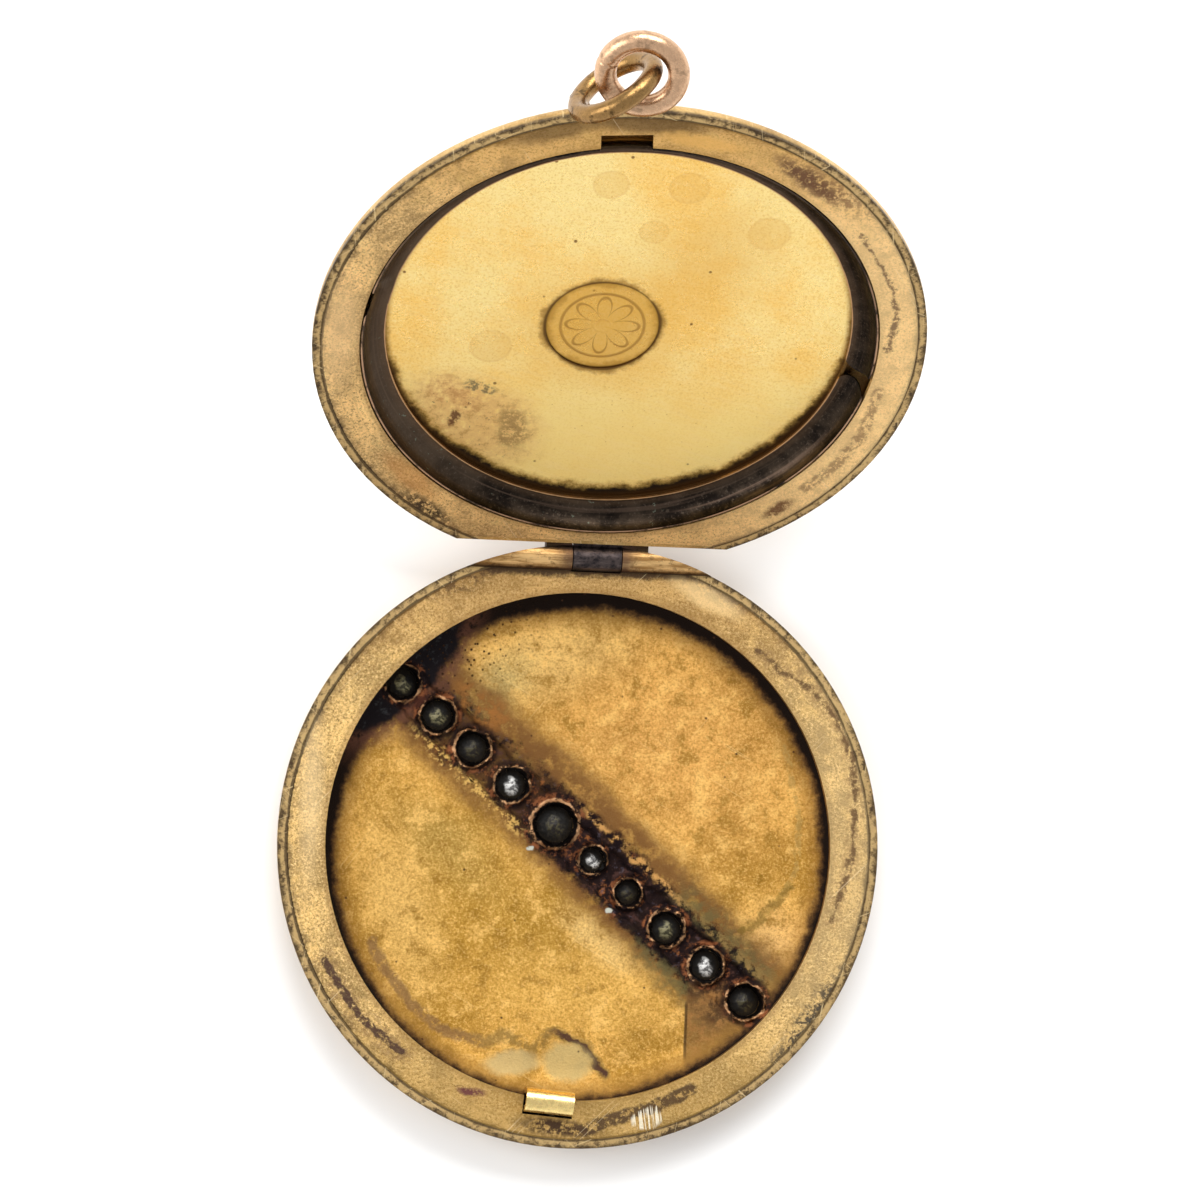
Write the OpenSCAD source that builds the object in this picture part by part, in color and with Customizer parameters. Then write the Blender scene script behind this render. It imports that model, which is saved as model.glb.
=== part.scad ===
// Round opening locket, lying open with its front cover face down.
// The case is drawn about its own centre on the parting plane, +Y towards the hinge, and the back cover is
// drawn closed and then opened about the hinge. place_case() sets the whole on the surface it lies on.

/* [Case] */
// Diameter of the case
case_d = 30; // [29:0.5:31]
// Depth of each half, from the parting plane to its outer face
half_depth = 2.05; // [2:0.05:2.2]
// Height of the straight band round the edge of each half
edge_band = 0.35; // [0.3:0.05:0.4]
// Radius of the front cover's flat outer face
front_flat_r = 11; // [10.5:0.25:11.25]
// Radius of the back cover's flat outer face
back_flat_r = 9.5; // [9:0.25:10]
// Thickness of the front cover's floor
front_floor_t = 0.75; // [0.7:0.05:0.8]
// Thickness of the back cover's shell
back_shell_t = 0.25; // [0.2:0.05:0.3]
// Gap between the two rims when the case is shut
lid_gap = 0.03; // [0.02:0.01:0.05]
// Angle from shut to open
open_angle = 135; // [130:1:140]

/* [Rims] */
// Inner radius of the front rim
front_rim_r = 12.62; // [12.6:0.01:12.7]
// Inner radius of the back rim
back_rim_r = 12.7; // [12.68:0.01:12.74]
// Width of the shell's lip outside the rims
lip_w = 0.45; // [0.4:0.05:0.5]
// Thickness of the front rim
front_rim_t = 0.5; // [0.45:0.05:0.55]
// Thickness of the back rim
back_rim_t = 0.3; // [0.25:0.05:0.35]

/* [Hinge] */
// Diameter of the hinge barrel
barrel_d = 1.3; // [1.2:0.05:1.3]
// Diameter of the hinge pin
pin_d = 0.6; // [0.5:0.05:0.6]
// Radial clearance of the middle knuckle on the pin
pin_gap = 0.04; // [0.02:0.01:0.06]
// Length of the middle knuckle
knuckle_l = 2.4; // [2:0.1:3]
// Distance of the middle knuckle's centre from the case's centre line
knuckle_x = 0.34; // [0:0.02:0.5]
// Gap on each side of the middle knuckle
knuckle_gap = 0.05; // [0.03:0.01:0.08]

/* [Stone row] */
// Direction of the stone row
row_angle = -40.6; // [-45:0.2:-35]
// Radius of a common stone
stone_r = 0.9; // [0.85:0.05:0.95]
// Width of the raised bar outside
bar_w = 2.9; // [2.7:0.1:3.1]
// Rise of the bar above the outer face
bar_rise = 0.28; // [0.25:0.01:0.3]
// Width of the channel inside
channel_w = 2.4; // [2.3:0.1:2.6]
// Depth of the channel below the inner floor
channel_deep = 0.25; // [0.2:0.05:0.3]

/* [Catch] */
// Width of the catch tongue
tongue_w = 2.4; // [2:0.1:2.6]
// Height of the tongue above the parting plane
tongue_rise = 0.95; // [0.85:0.05:0.95]

/* [Picture side] */
// Radius of the inner plate
plate_r = 11.9; // [11.7:0.05:11.9]
// Radius of the round mark sunk in the plate
mark_r = 2.8; // [2:0.1:4]
// Inner radius of the picture frame
frame_in_r = 11.4; // [11.3:0.05:11.45]
// Outer radius of the picture frame
frame_out_r = 12.62; // [12.58:0.01:12.64]
// How far the frame's inner edge lies below its outer edge
frame_deep = 1.1; // [1:0.02:1.1]

/* [Bail] */
// Direction of the catch and the bail, seen from the case's centre
bail_turn = -94.5; // [-96:0.5:-90]
// Diameter of the fixed loop's wire
loop_wire_d = 0.94; // [0.9:0.02:0.96]
// Diameter of the jump ring's wire
ring_wire_d = 1.06; // [1:0.02:1.08]

/* [Hidden] */
STONES = 10;
function stone_name(i) = str("paste_stone_", i < 9 ? "0" : "", i + 1);
$fn = 96;

case_r = case_d / 2;
rim_out_r = case_r - lip_w;
barrel_r = barrel_d / 2;
hinge_y = case_r - barrel_r;
over = 1; // how far a cutter runs past what it cuts

// The back cover ends in a flat wall, parallel to the hinge
chord_offset = 0.95;
chord_y = hinge_y - chord_offset;
chord_wall_t = 0.2;

// Dished floor of the front cover, and the arc that lifts it to the rim
floor_depth = half_depth - front_floor_t;
floor_flat_r = 11;
floor_arc_r = 2.5;

// Stop lugs behind the barrel, which meet the back cover's chord wall at open_angle
stop_side = 180 - open_angle;
lug_reach = barrel_r + 0.4;
lug_gap = 0.02;
lug_top = (chord_offset - lug_gap - lug_reach * cos(stop_side)) / sin(stop_side);
lug_w = 1.3;
lug_deep = 0.6;

// The middle knuckle's leaf
leaf_low = 0.1;
leaf_t = 0.32;

// Stones: hand-set, so pitch and size wander a little
row_start = -11.9;
row_pitch = 2.597;
row_side = 0.09;
stone_shift = [0, -0.2, -0.4, -0.35, 0, 0, -0.2, -0.15, -0.05, 0];
stone_grow = [0, 0, 0, 0, 0.2, -0.15, -0.15, 0, 0, 0];
seat_ledge = 0.15;
seat_gap = 0.02;
table_sink = 0.12;
crown_h = 0.2;
girdle_h = 0.06;
pavilion_ratio = 0.69;
table_ratio = 0.56;
bar_start = -12.9;
bar_end = 12.6;

// Catch
tongue_t = 0.3;
fold_r = 0.6;
tongue_in_r = 12.15;
slot_out_r = tongue_in_r + 2 * fold_r + 0.13;
slot_w = tongue_w + 0.1;
tongue_foot = 0.76;

// Plate and picture frame, as depths from the parting plane into the back cover
plate_top = 1.46;
plate_t = 0.16;
frame_t = 0.1;
frame_top = 0.04;
frame_foot = frame_top + frame_deep + frame_t;
seat_ring_w = 0.15;
mark_deep = 0.07;
mark_pos = [-0.77, 0.15];
pull_hole_r = 0.22;
lap_turn = -173.4; // direction of the end that laps over the other half
lap_lift = 0.12;
lap_gap = 0.01;
lap_out_r = 12.4;
COVE_STEPS = 8;
relief_in_r = 12; // the frame is cut away from here outwards, where the catch comes through

// Bail, in an axis set at bail_turn: outwards, sideways, and up from the parting plane
loop_r = 2.05;
loop_pos = [case_r + 1.45, -0.65, 0.05];
loop_tilt = 76;
loop_swing = -30.6;
pad_r = 0.46;
pad_turn = -8.6;
pad_up = 0.54;
ring_r = 1.75;
ring_pos = [case_r + 2.3, 0.6, 0.05];
ring_tilt = 13;
ring_swing = 153.5;

// Middle of the whole open piece along Y, found from the jump ring's far side
ring_y = ring_pos[0] * sin(bail_turn) + ring_pos[1] * cos(bail_turn);
ring_axis_u = sin(ring_tilt) * cos(ring_swing);
ring_axis_v = sin(ring_tilt) * sin(ring_swing);
ring_axis_y = ring_axis_u * sin(bail_turn) + ring_axis_v * cos(bail_turn);
ring_open_axis_y = ring_axis_y * cos(open_angle) + cos(ring_tilt) * sin(open_angle);
ring_half_y = ring_r * sqrt(1 - pow(ring_open_axis_y, 2)) + ring_wire_d / 2;
ring_open_y = hinge_y + (ring_y - hinge_y) * cos(open_angle) + (ring_pos[2] + lid_gap) * sin(open_angle);
middle_y = (ring_open_y + ring_half_y - case_r) / 2;

// ---- Profiles, as [radius, depth] with depth measured from the parting plane ----

// Points on a quarter ellipse round [centre_r, centre_d], from the edge to the flat
function dome(centre_r, centre_d, half_r, half_d, from = 0, steps = 18) =
    [for (i = [0:steps]) let (a = from + (90 - from) * i / steps)
        [centre_r + half_r * cos(a), centre_d + half_d * sin(a)]];

// Closed outline of one half as a solid lens, grown outwards by more
function lens(flat_r, more = 0) = concat(
    [[0, 0], [case_r + more, 0]],
    dome(flat_r, edge_band, case_r - flat_r + more, half_depth - edge_band + more),
    [[0, half_depth + more]]
);

// Hollow of the front cover under its rim, sunk further by more
function dish(more = 0) = let (top = asin((rim_seat_r() - floor_flat_r) / floor_arc_r)) concat(
    [[0, front_rim_t], [rim_seat_r(), front_rim_t]],
    [for (i = [0:8]) let (a = top * (8 - i) / 8)
        [floor_flat_r + floor_arc_r * sin(a), floor_depth + more - floor_arc_r * (1 - cos(a))]],
    [[0, floor_depth + more]]
);

// Radius at which the floor's arc reaches the rim's underside
function rim_seat_r() =
    floor_flat_r + sqrt(pow(floor_arc_r, 2) - pow(floor_arc_r - floor_depth + front_rim_t, 2));

// Hollow of the thin back shell behind its lip
function back_hollow() = concat(
    [[0, back_rim_t], [rim_out_r, back_rim_t], [rim_out_r, edge_band + 0.05]],
    dome(back_flat_r, edge_band, case_r - back_flat_r - back_shell_t,
         half_depth - edge_band - back_shell_t, 3),
    [[0, half_depth - back_shell_t]]
);

module turned(outline) {
    rotate_extrude() polygon(outline);
}

module ring(inner, outer, low, high) {
    turned([[inner, low], [outer, low], [outer, high], [inner, high]]);
}

// A bar of any length across the case, along the stone row
module row_box(start, end, width) {
    rotate([0, 0, row_angle])
        translate([start, row_side - width / 2, -over])
            cube([end - start, width, half_depth + 2 * over]);
}

// A bar along the hinge
module along_hinge(start, end, radius) {
    translate([start, hinge_y, 0])
        rotate([0, 90, 0])
            cylinder(h = end - start, r = radius, $fn = 48);
}

// ---- Where things go ----

module place_case() {
    translate([0, -middle_y, half_depth + bar_rise]) children();
}

// The front cover is drawn with its depth upwards and turned over
module place_front() {
    place_case() mirror([0, 0, 1]) children();
}

// What turns with the back cover is drawn shut and swung open about the hinge
module swing_open() {
    place_case()
        translate([0, hinge_y, 0])
            rotate([-open_angle, 0, 0])
                translate([0, -hinge_y, 0])
                    children();
}

// The back cover's own half starts a little above the parting plane
module place_back() {
    swing_open() translate([0, 0, lid_gap]) children();
}

module at_bail() {
    rotate([0, 0, bail_turn]) children();
}

// ---- Front cover ----

function stone_size(i) = stone_r + stone_grow[i];
function stone_place(i) = row_start + row_pitch * i + stone_shift[i];
table_depth = half_depth + bar_rise - table_sink;
girdle_depth = table_depth - crown_h;
function pavilion(i) = stone_size(i) * pavilion_ratio;

module at_stone(i) {
    rotate([0, 0, row_angle]) translate([stone_place(i), row_side, 0]) children();
}

// Pierced hole with a ledge for the girdle, open to the outside
module stone_seat(i) {
    hole = stone_size(i) - seat_ledge;
    ledge = girdle_depth - girdle_h - pavilion(i) * seat_ledge / stone_size(i) - seat_gap;
    at_stone(i) {
        cylinder(h = half_depth + over, r = hole, $fn = 32);
        translate([0, 0, ledge]) cylinder(h = over, r = stone_size(i) + seat_gap, $fn = 32);
    }
}

// Groove for the barrel, wider where the middle knuckle turns
module barrel_groove() {
    along_hinge(-case_r, case_r, barrel_r);
    along_hinge(knuckle_x - knuckle_l / 2 - knuckle_gap, knuckle_x + knuckle_l / 2 + knuckle_gap,
                barrel_r + knuckle_gap);
}

module front_shell() {
    color("darkkhaki") place_front() difference() {
        union() {
            turned(lens(front_flat_r));
            intersection() {
                turned(lens(front_flat_r, bar_rise));
                row_box(bar_start, bar_end, bar_w);
            }
        }
        turned(dish());
        intersection() {
            turned(dish(channel_deep));
            row_box(bar_start + 0.4, bar_end - 0.4, channel_w);
        }
        translate([0, 0, -over]) cylinder(h = front_rim_t + over, r = rim_out_r);
        for (i = [0:STONES - 1]) stone_seat(i);
        barrel_groove();
    }
}

module front_rim() {
    color("burlywood") place_front() difference() {
        ring(front_rim_r, rim_out_r, 0, front_rim_t);
        at_bail() translate([front_rim_r - over, -slot_w / 2, -over])
            cube([slot_out_r - front_rim_r + over, slot_w, front_rim_t + 2 * over]);
        barrel_groove();
    }
}

// One fixed knuckle, filed flush with the case's edge, and its stop lug
module front_knuckle(inner_end, outer_end, lug_start) {
    place_case() difference() {
        union() {
            intersection() {
                along_hinge(inner_end, outer_end, barrel_r);
                translate([0, 0, -half_depth]) cylinder(h = 2 * half_depth, r = case_r);
            }
            difference() {
                translate([lug_start, hinge_y + 0.1, -lug_deep])
                    cube([lug_w, lug_reach - 0.1, lug_deep + lug_top]);
                mirror([0, 0, 1]) turned(lens(front_flat_r));
            }
        }
        along_hinge(-case_r, case_r, pin_d / 2);
    }
}

module front_knuckle_left() {
    inner = knuckle_x - knuckle_l / 2 - knuckle_gap;
    color("goldenrod") front_knuckle(-case_r / 2, inner, inner - lug_w);
}

module front_knuckle_right() {
    inner = knuckle_x + knuckle_l / 2 + knuckle_gap;
    color("goldenrod") front_knuckle(inner, case_r / 2, inner);
}

module hinge_pin() {
    color("dimgray") place_case() intersection() {
        along_hinge(-case_r / 2, case_r / 2, pin_d / 2);
        translate([0, 0, -half_depth]) cylinder(h = 2 * half_depth, r = case_r);
    }
}

// Round paste stone, table outwards, point inwards
module paste_stone(i) {
    r = stone_size(i);
    girdle_in = girdle_depth - girdle_h;
    color([0.6, 0.62, 0.58]) place_front() at_stone(i)
        rotate_extrude($fn = 32)
            polygon([[0, girdle_in - pavilion(i)], [r, girdle_in], [r, girdle_depth],
                     [r * table_ratio, table_depth], [0, table_depth]]);
}

// ---- Catch ----

// Spring leaf folded over outwards, drawn in the plane [radius, height]
module tongue_section() {
    fold_c = tongue_in_r + fold_r;
    fold_up = tongue_rise - fold_r;
    translate([tongue_in_r, -tongue_foot]) square([tongue_t, tongue_foot + fold_up]);
    translate([fold_c + fold_r - tongue_t, -0.1]) square([tongue_t, 0.1 + fold_up]);
    translate([fold_c, fold_up]) intersection() {
        difference() {
            circle(r = fold_r, $fn = 48);
            circle(r = fold_r - tongue_t, $fn = 48);
        }
        translate([-fold_r, 0]) square([2 * fold_r, fold_r]);
    }
}

module catch_tongue() {
    color("gold") place_case() at_bail()
        translate([0, tongue_w / 2, 0])
            rotate([90, 0, 0])
                linear_extrude(tongue_w) tongue_section();
}

// ---- Back cover ----

module behind_chord(chord) {
    translate([-case_r - over, chord, -over]) cube([case_d + 2 * over, case_r, half_depth + 3 * over]);
}

module back_shell() {
    color("darkkhaki") place_back() difference() {
        turned(lens(back_flat_r));
        difference() {
            union() {
                turned(back_hollow());
                translate([0, 0, -over]) cylinder(h = back_rim_t + over, r = rim_out_r);
            }
            behind_chord(chord_y - chord_wall_t);
        }
        behind_chord(chord_y);
    }
}

module back_rim() {
    color("burlywood") place_back() difference() {
        ring(back_rim_r, rim_out_r, 0, back_rim_t);
        at_bail() translate([back_rim_r - over, -slot_w / 2, -over])
            cube([slot_out_r - back_rim_r + over, slot_w, back_rim_t + 2 * over]);
        behind_chord(chord_y - chord_wall_t);
    }
}

module back_plate() {
    color("khaki") place_back() difference() {
        union() {
            translate([0, 0, plate_top]) cylinder(h = plate_t, r = plate_r);
            ring(frame_in_r + 0.05, frame_in_r + 0.05 + seat_ring_w, frame_foot, plate_top);
        }
        translate([mark_pos[0], mark_pos[1], plate_top - over])
            cylinder(h = over + mark_deep, r = mark_r, $fn = 64);
    }
}

// One face of the frame's cove, which falls from the rim to the plate: raised towards the parting plane
// by lift, and moved outwards by grow
function cove_face(lift, grow) = dome(frame_in_r, frame_top - lift, frame_out_r - frame_t - frame_in_r + grow,
                                      frame_deep + grow, 0, COVE_STEPS);

function between(upper, lower) = concat(upper, [for (i = [COVE_STEPS:-1:0]) lower[i]]);

// What lies between two directions, with round ends
module span_of(start, end) {
    mid_r = (frame_in_r + frame_out_r) / 2;
    half_w = (frame_out_r - frame_in_r) / 2 + 0.05;
    rotate([0, 0, start]) rotate_extrude(angle = end - start)
        translate([mid_r - half_w, -over]) square([2 * half_w, half_depth + over]);
    for (a = [start, end])
        rotate([0, 0, a]) translate([mid_r, 0, -over])
            cylinder(h = half_depth + over, r = half_w, $fn = 32);
}

module pull_hole() {
    rotate([0, 0, lap_turn]) translate([(frame_in_r + frame_out_r) / 2, 0, 0])
        cylinder(h = half_depth, r = pull_hole_r, $fn = 24);
}

// The half on the bail's side; its left end lies over the other half's end
module frame_bail_half() {
    color("saddlebrown") place_back() difference() {
        union() {
            intersection() {
                turned(between(cove_face(0, 0), cove_face(0, frame_t)));
                span_of(-168, 6);
            }
            intersection() {
                turned(between(cove_face(lap_lift, 0), cove_face(0, frame_t)));
                span_of(-168.5, -167);
                cylinder(h = half_depth, r = lap_out_r);
            }
            intersection() {
                turned(between(cove_face(lap_lift, 0), cove_face(lap_gap, 0)));
                span_of(lap_turn, -169);
                cylinder(h = half_depth, r = lap_out_r);
            }
        }
        pull_hole();
        at_bail() translate([relief_in_r, -slot_w / 2, -over]) cube([over, slot_w, half_depth + over]);
    }
}

module frame_hinge_half() {
    color("sienna") place_back() difference() {
        intersection() {
            turned(between(cove_face(0, 0), cove_face(0, frame_t)));
            span_of(14, 184);
        }
        pull_hole();
    }
}

// Knuckle with a leaf that is soldered on the chord wall
module middle_knuckle() {
    start = knuckle_x - knuckle_l / 2;
    color("dimgray") swing_open() difference() {
        union() {
            along_hinge(start, start + knuckle_l, barrel_r);
            translate([start, chord_y, leaf_low]) cube([knuckle_l, chord_offset, leaf_t]);
        }
        along_hinge(start - over, start + knuckle_l + over, pin_d / 2 + pin_gap);
    }
}

// ---- Bail ----

module wire_ring(pos, tilt, swing, centre_r, wire_d) {
    translate(pos) rotate([0, tilt, swing])
        rotate_extrude() translate([centre_r, 0]) circle(r = wire_d / 2, $fn = 32);
}

module bail_loop() {
    color("palegoldenrod") place_back() at_bail() union() {
        wire_ring(loop_pos, loop_tilt, loop_swing, loop_r, loop_wire_d);
        difference() {
            translate([0, 0, pad_up]) rotate([0, 90, pad_turn])
                cylinder(h = case_r + 0.65, r = pad_r, $fn = 32);
            turned(lens(back_flat_r));
        }
    }
}

module jump_ring() {
    color("rosybrown") place_back() at_bail()
        wire_ring(ring_pos, ring_tilt, ring_swing, ring_r, ring_wire_d);
}

front_shell();
front_rim();
front_knuckle_left();
front_knuckle_right();
hinge_pin();
for (i = [0:STONES - 1]) paste_stone(i);
catch_tongue();
back_shell();
back_rim();
back_plate();
frame_bail_half();
frame_hinge_half();
middle_knuckle();
bail_loop();
jump_ring();
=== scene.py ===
import math
import random

import bmesh
import bpy
import numpy as np
from mathutils import Matrix, Vector, noise


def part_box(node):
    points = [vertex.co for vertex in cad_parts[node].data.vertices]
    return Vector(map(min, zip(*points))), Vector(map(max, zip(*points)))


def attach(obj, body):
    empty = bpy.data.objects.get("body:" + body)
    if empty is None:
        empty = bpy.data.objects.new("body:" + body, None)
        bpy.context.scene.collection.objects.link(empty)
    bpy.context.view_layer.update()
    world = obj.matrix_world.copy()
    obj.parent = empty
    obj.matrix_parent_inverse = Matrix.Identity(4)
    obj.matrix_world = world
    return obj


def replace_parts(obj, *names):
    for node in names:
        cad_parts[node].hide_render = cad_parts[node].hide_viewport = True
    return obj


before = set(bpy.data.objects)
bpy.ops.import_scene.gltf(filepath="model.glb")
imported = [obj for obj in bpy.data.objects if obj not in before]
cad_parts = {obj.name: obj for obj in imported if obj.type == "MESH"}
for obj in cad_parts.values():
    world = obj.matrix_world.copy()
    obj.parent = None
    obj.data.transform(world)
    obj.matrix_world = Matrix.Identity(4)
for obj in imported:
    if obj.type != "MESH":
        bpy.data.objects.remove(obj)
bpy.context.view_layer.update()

# ---- Where the two covers are: millimetres about the case's centre on the parting plane, +Y to the hinge ----

MM = 0.001
low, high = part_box("front_shell")
CASE = Vector(((low.x + high.x) / 2, (low.y + high.y) / 2, high.z))
HINGE_Y = 14.35
LID_GAP = 0.03
OPEN = math.radians(135)
HINGE = Vector((0, HINGE_Y * MM, 0))
FRONT = Matrix.Translation(CASE) @ Matrix.Scale(MM, 4)
BACK = (Matrix.Translation(CASE + HINGE) @ Matrix.Rotation(-OPEN, 4, "X") @ Matrix.Translation(-HINGE)
        @ Matrix.Scale(MM, 4) @ Matrix.Translation((0, 0, LID_GAP)))
BAIL_TURN = math.radians(-94.5)
AT_BAIL = BACK @ Matrix.Rotation(BAIL_TURN, 4, "Z")

HALF_DEPTH, BAR_RISE = 2.05, 0.28
FLOOR_DEPTH, FLOOR_FLAT_R, FLOOR_ARC_R = 1.3, 11.0, 2.5
ROW_TURN, ROW_SIDE = math.radians(-40.6), 0.09
STONE_AT = [-11.9 + 2.597 * i + s for i, s in
            enumerate((0, -0.2, -0.4, -0.35, 0, 0, -0.2, -0.15, -0.05, 0))]
STONE_R = [0.9 + s for s in (0, 0, 0, 0, 0.2, -0.15, -0.15, 0, 0, 0)]
TABLE_DEPTH = HALF_DEPTH + BAR_RISE - 0.12
GIRDLE_DEPTH = TABLE_DEPTH - 0.2
FRAME_IN, FRAME_OUT, FRAME_T, FRAME_TOP, FRAME_DEEP = 11.4, 12.62, 0.1, 0.04, 1.1
PLATE_TOP = 1.46
MARK_AT, MARK_R, MARK_DEEP = (-0.77, 0.15), 2.8, 0.07
WELL_R = 12.95
HOLE_R = [r - 0.19 for r in STONE_R]
RELIEF = math.asin(1.25 / 12.3)  # half of the angle over which the frame is cut back for the catch
RELIEF_R = 12.0
LAP_R, LAP_LIFT = 12.4, 0.115
RING_R, RING_WIRE, RING_AT, RING_LEAN, RING_SWING = 1.75, 1.06, (17.30, 0.6, 0.05), 13, 153.5
ROW = FRONT @ Matrix.Rotation(ROW_TURN, 4, "Z") @ Matrix.Translation((0, ROW_SIDE, 0))


# ---- Materials: a small language for node trees ----

class Num:
    """A number that varies over a surface."""

    def __init__(self, shade, socket):
        self.shade, self.socket = shade, socket

    def _op(self, op, *others, swap=False):
        args = [self, *others]
        return self.shade.math(op, *(reversed(args) if swap else args))

    def __add__(self, o): return self._op("ADD", o)
    def __radd__(self, o): return self._op("ADD", o)
    def __sub__(self, o): return self._op("SUBTRACT", o)
    def __rsub__(self, o): return self._op("SUBTRACT", o, swap=True)
    def __mul__(self, o): return self._op("MULTIPLY", o)
    def __rmul__(self, o): return self._op("MULTIPLY", o)
    def abs(self): return self._op("ABSOLUTE")
    def max(self, o): return self._op("MAXIMUM", o)
    def min(self, o): return self._op("MINIMUM", o)


class Shade:
    """One procedural metal or glass, drawn in the millimetres of the cover that it lies on."""

    def __init__(self, name, place, colour, rough, metallic=1.0):
        self.material = bpy.data.materials.new(name)
        self.material.use_nodes = True
        self.tree = self.material.node_tree
        self.tree.nodes.clear()
        spot = self.node("ShaderNodeMapping")
        back = place.inverted()
        spot.inputs["Location"].default_value = back.translation
        spot.inputs["Rotation"].default_value = back.to_euler()
        spot.inputs["Scale"].default_value = back.to_scale()
        self.link(self.node("ShaderNodeTexCoord").outputs["Object"], spot.inputs["Vector"])
        self.at = spot.outputs["Vector"]
        split = self.node("ShaderNodeSeparateXYZ")
        self.link(self.at, split.inputs[0])
        self.x, self.y, self.z = (Num(self, split.outputs[i]) for i in range(3))
        self.r = self.math("SQRT", self.x * self.x + self.y * self.y)
        self.colour, self.rough, self.metallic = colour, rough, metallic
        self.height = None
        self.warped = None
        self.seed = 0

    def node(self, kind, **settings):
        n = self.tree.nodes.new(kind)
        for key, value in settings.items():
            setattr(n, key, value)
        return n

    def link(self, a, b):
        self.tree.links.new(a.socket if isinstance(a, Num) else a, b)

    def put(self, value, socket):
        """Links a varying value to a socket, or sets a constant on it."""
        if isinstance(value, Num) or isinstance(value, bpy.types.NodeSocket):
            self.link(value, socket)
        elif socket.type == "RGBA":
            socket.default_value = (*value, 1) if len(value) == 3 else value
        else:
            socket.default_value = value

    def math(self, op, *args):
        n = self.node("ShaderNodeMath", operation=op)
        for value, socket in zip(args, n.inputs):
            self.put(value, socket)
        return Num(self, n.outputs[0])

    def step(self, value, start, end):
        """0 before start and 1 after end, smoothly."""
        n = self.node("ShaderNodeMapRange", interpolation_type="SMOOTHSTEP")
        for v, key in ((value, "Value"), (start, "From Min"), (end, "From Max")):
            self.put(v, n.inputs[key])
        return Num(self, n.outputs[0])

    def moved(self, vector, shift=(0, 0, 0), scale=(1, 1, 1), turn=0.0, kind="POINT"):
        n = self.node("ShaderNodeMapping", vector_type=kind)
        n.inputs["Location"].default_value = shift
        n.inputs["Rotation"].default_value = (0, 0, turn)
        n.inputs["Scale"].default_value = scale
        self.link(vector, n.inputs["Vector"])
        return n.outputs["Vector"]

    def noise(self, scale, detail=4.0, rough=0.55, stretch=(1, 1, 1), turn=0.0, on=None):
        """Fractal noise about 0.5, with scale features a millimetre. stretch makes them finer along each axis."""
        self.seed += 1
        shift = (7.3 * self.seed, 3.1 * self.seed, 1.7 * self.seed)
        vector = self.moved(on or self.at, shift, [1 / c for c in stretch], turn, "TEXTURE")
        n = self.node("ShaderNodeTexNoise")
        self.link(vector, n.inputs["Vector"])
        for key, value in (("Scale", scale), ("Detail", detail), ("Roughness", rough)):
            n.inputs[key].default_value = value
        return Num(self, n.outputs["Fac"])

    def cells(self, scale):
        """Distance to the nearest of scattered points, in cells."""
        self.seed += 1
        n = self.node("ShaderNodeTexVoronoi")
        self.link(self.moved(self.at, (5.7 * self.seed, 2.9 * self.seed, 0)), n.inputs["Vector"])
        n.inputs["Scale"].default_value = scale
        return Num(self, n.outputs["Distance"])

    def turned(self, around, along):
        """Noise round the case's centre: around features a turn, along features a millimetre outwards."""
        angle = self.math("ARCTAN2", self.y, self.x)
        pack = self.node("ShaderNodeCombineXYZ")
        self.put(self.math("COSINE", angle) * (around / math.tau), pack.inputs[0])
        self.put(self.math("SINE", angle) * (around / math.tau), pack.inputs[1])
        self.put(self.r * along, pack.inputs[2])
        return self.noise(1.0, 3, on=pack.outputs[0])

    def warp(self, amount, scale):
        """Makes the edges of all later blots ragged by amount millimetres."""
        self.seed += 1
        n = self.node("ShaderNodeTexNoise")
        self.link(self.moved(self.at, (2.3 * self.seed, 8.9 * self.seed, 0)), n.inputs["Vector"])
        n.inputs["Scale"].default_value = scale
        n.inputs["Detail"].default_value = 6
        n.inputs["Roughness"].default_value = 0.62
        shift = self.node("ShaderNodeVectorMath", operation="MULTIPLY_ADD")
        self.link(n.outputs["Color"], shift.inputs[0])
        shift.inputs[1].default_value = (2 * amount, 2 * amount, 0)
        shift.inputs[2].default_value = (-amount, -amount, 0)
        total = self.node("ShaderNodeVectorMath", operation="ADD")
        self.link(self.at, total.inputs[0])
        self.link(shift.outputs[0], total.inputs[1])
        self.warped = total.outputs[0]

    def away(self, x, y, rx, ry=None, turn=0.0):
        """Distance from a spot in radii: 1 on an ellipse round it."""
        ry = ry or rx
        vector = self.moved(self.warped or self.at, (x, y, 0), (rx, ry, 1e6), math.radians(turn), "TEXTURE")
        return self.length(vector)

    def blot(self, x, y, rx, ry=None, turn=0.0, soft=0.25):
        """1 inside an ellipse and 0 outside, with a soft edge."""
        return self.step(self.away(x, y, rx, ry, turn), 1 + soft, 1 - soft)

    def tide(self, x, y, radius, width):
        """A thin dried line round a round spot."""
        return self.step((self.away(x, y, radius) - 1).abs(), width, width * 0.3)

    def length(self, vector):
        n = self.node("ShaderNodeVectorMath", operation="LENGTH")
        self.link(vector, n.inputs[0])
        return Num(self, n.outputs["Value"])

    def vector(self, op, a, b):
        n = self.node("ShaderNodeVectorMath", operation=op)
        self.link(a, n.inputs[0])
        self.put(b, n.inputs[1])
        return n.outputs[0]

    def trail(self, *points):
        """Distance in millimetres from a line drawn through the points."""
        nearest = None
        for (ax, ay), (bx, by) in zip(points, points[1:]):
            dx, dy = bx - ax, by - ay
            local = self.moved(self.warped or self.at, (ax, ay, 0), (1, 1, 1e6), math.atan2(dy, dx), "TEXTURE")
            reach = self.vector("MAXIMUM", local, (0, 0, 0))
            reach = self.vector("MINIMUM", reach, (math.hypot(dx, dy), 0, 0))
            off = self.length(self.vector("SUBTRACT", local, reach))
            nearest = off if nearest is None else nearest.min(off)
        return nearest

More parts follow.
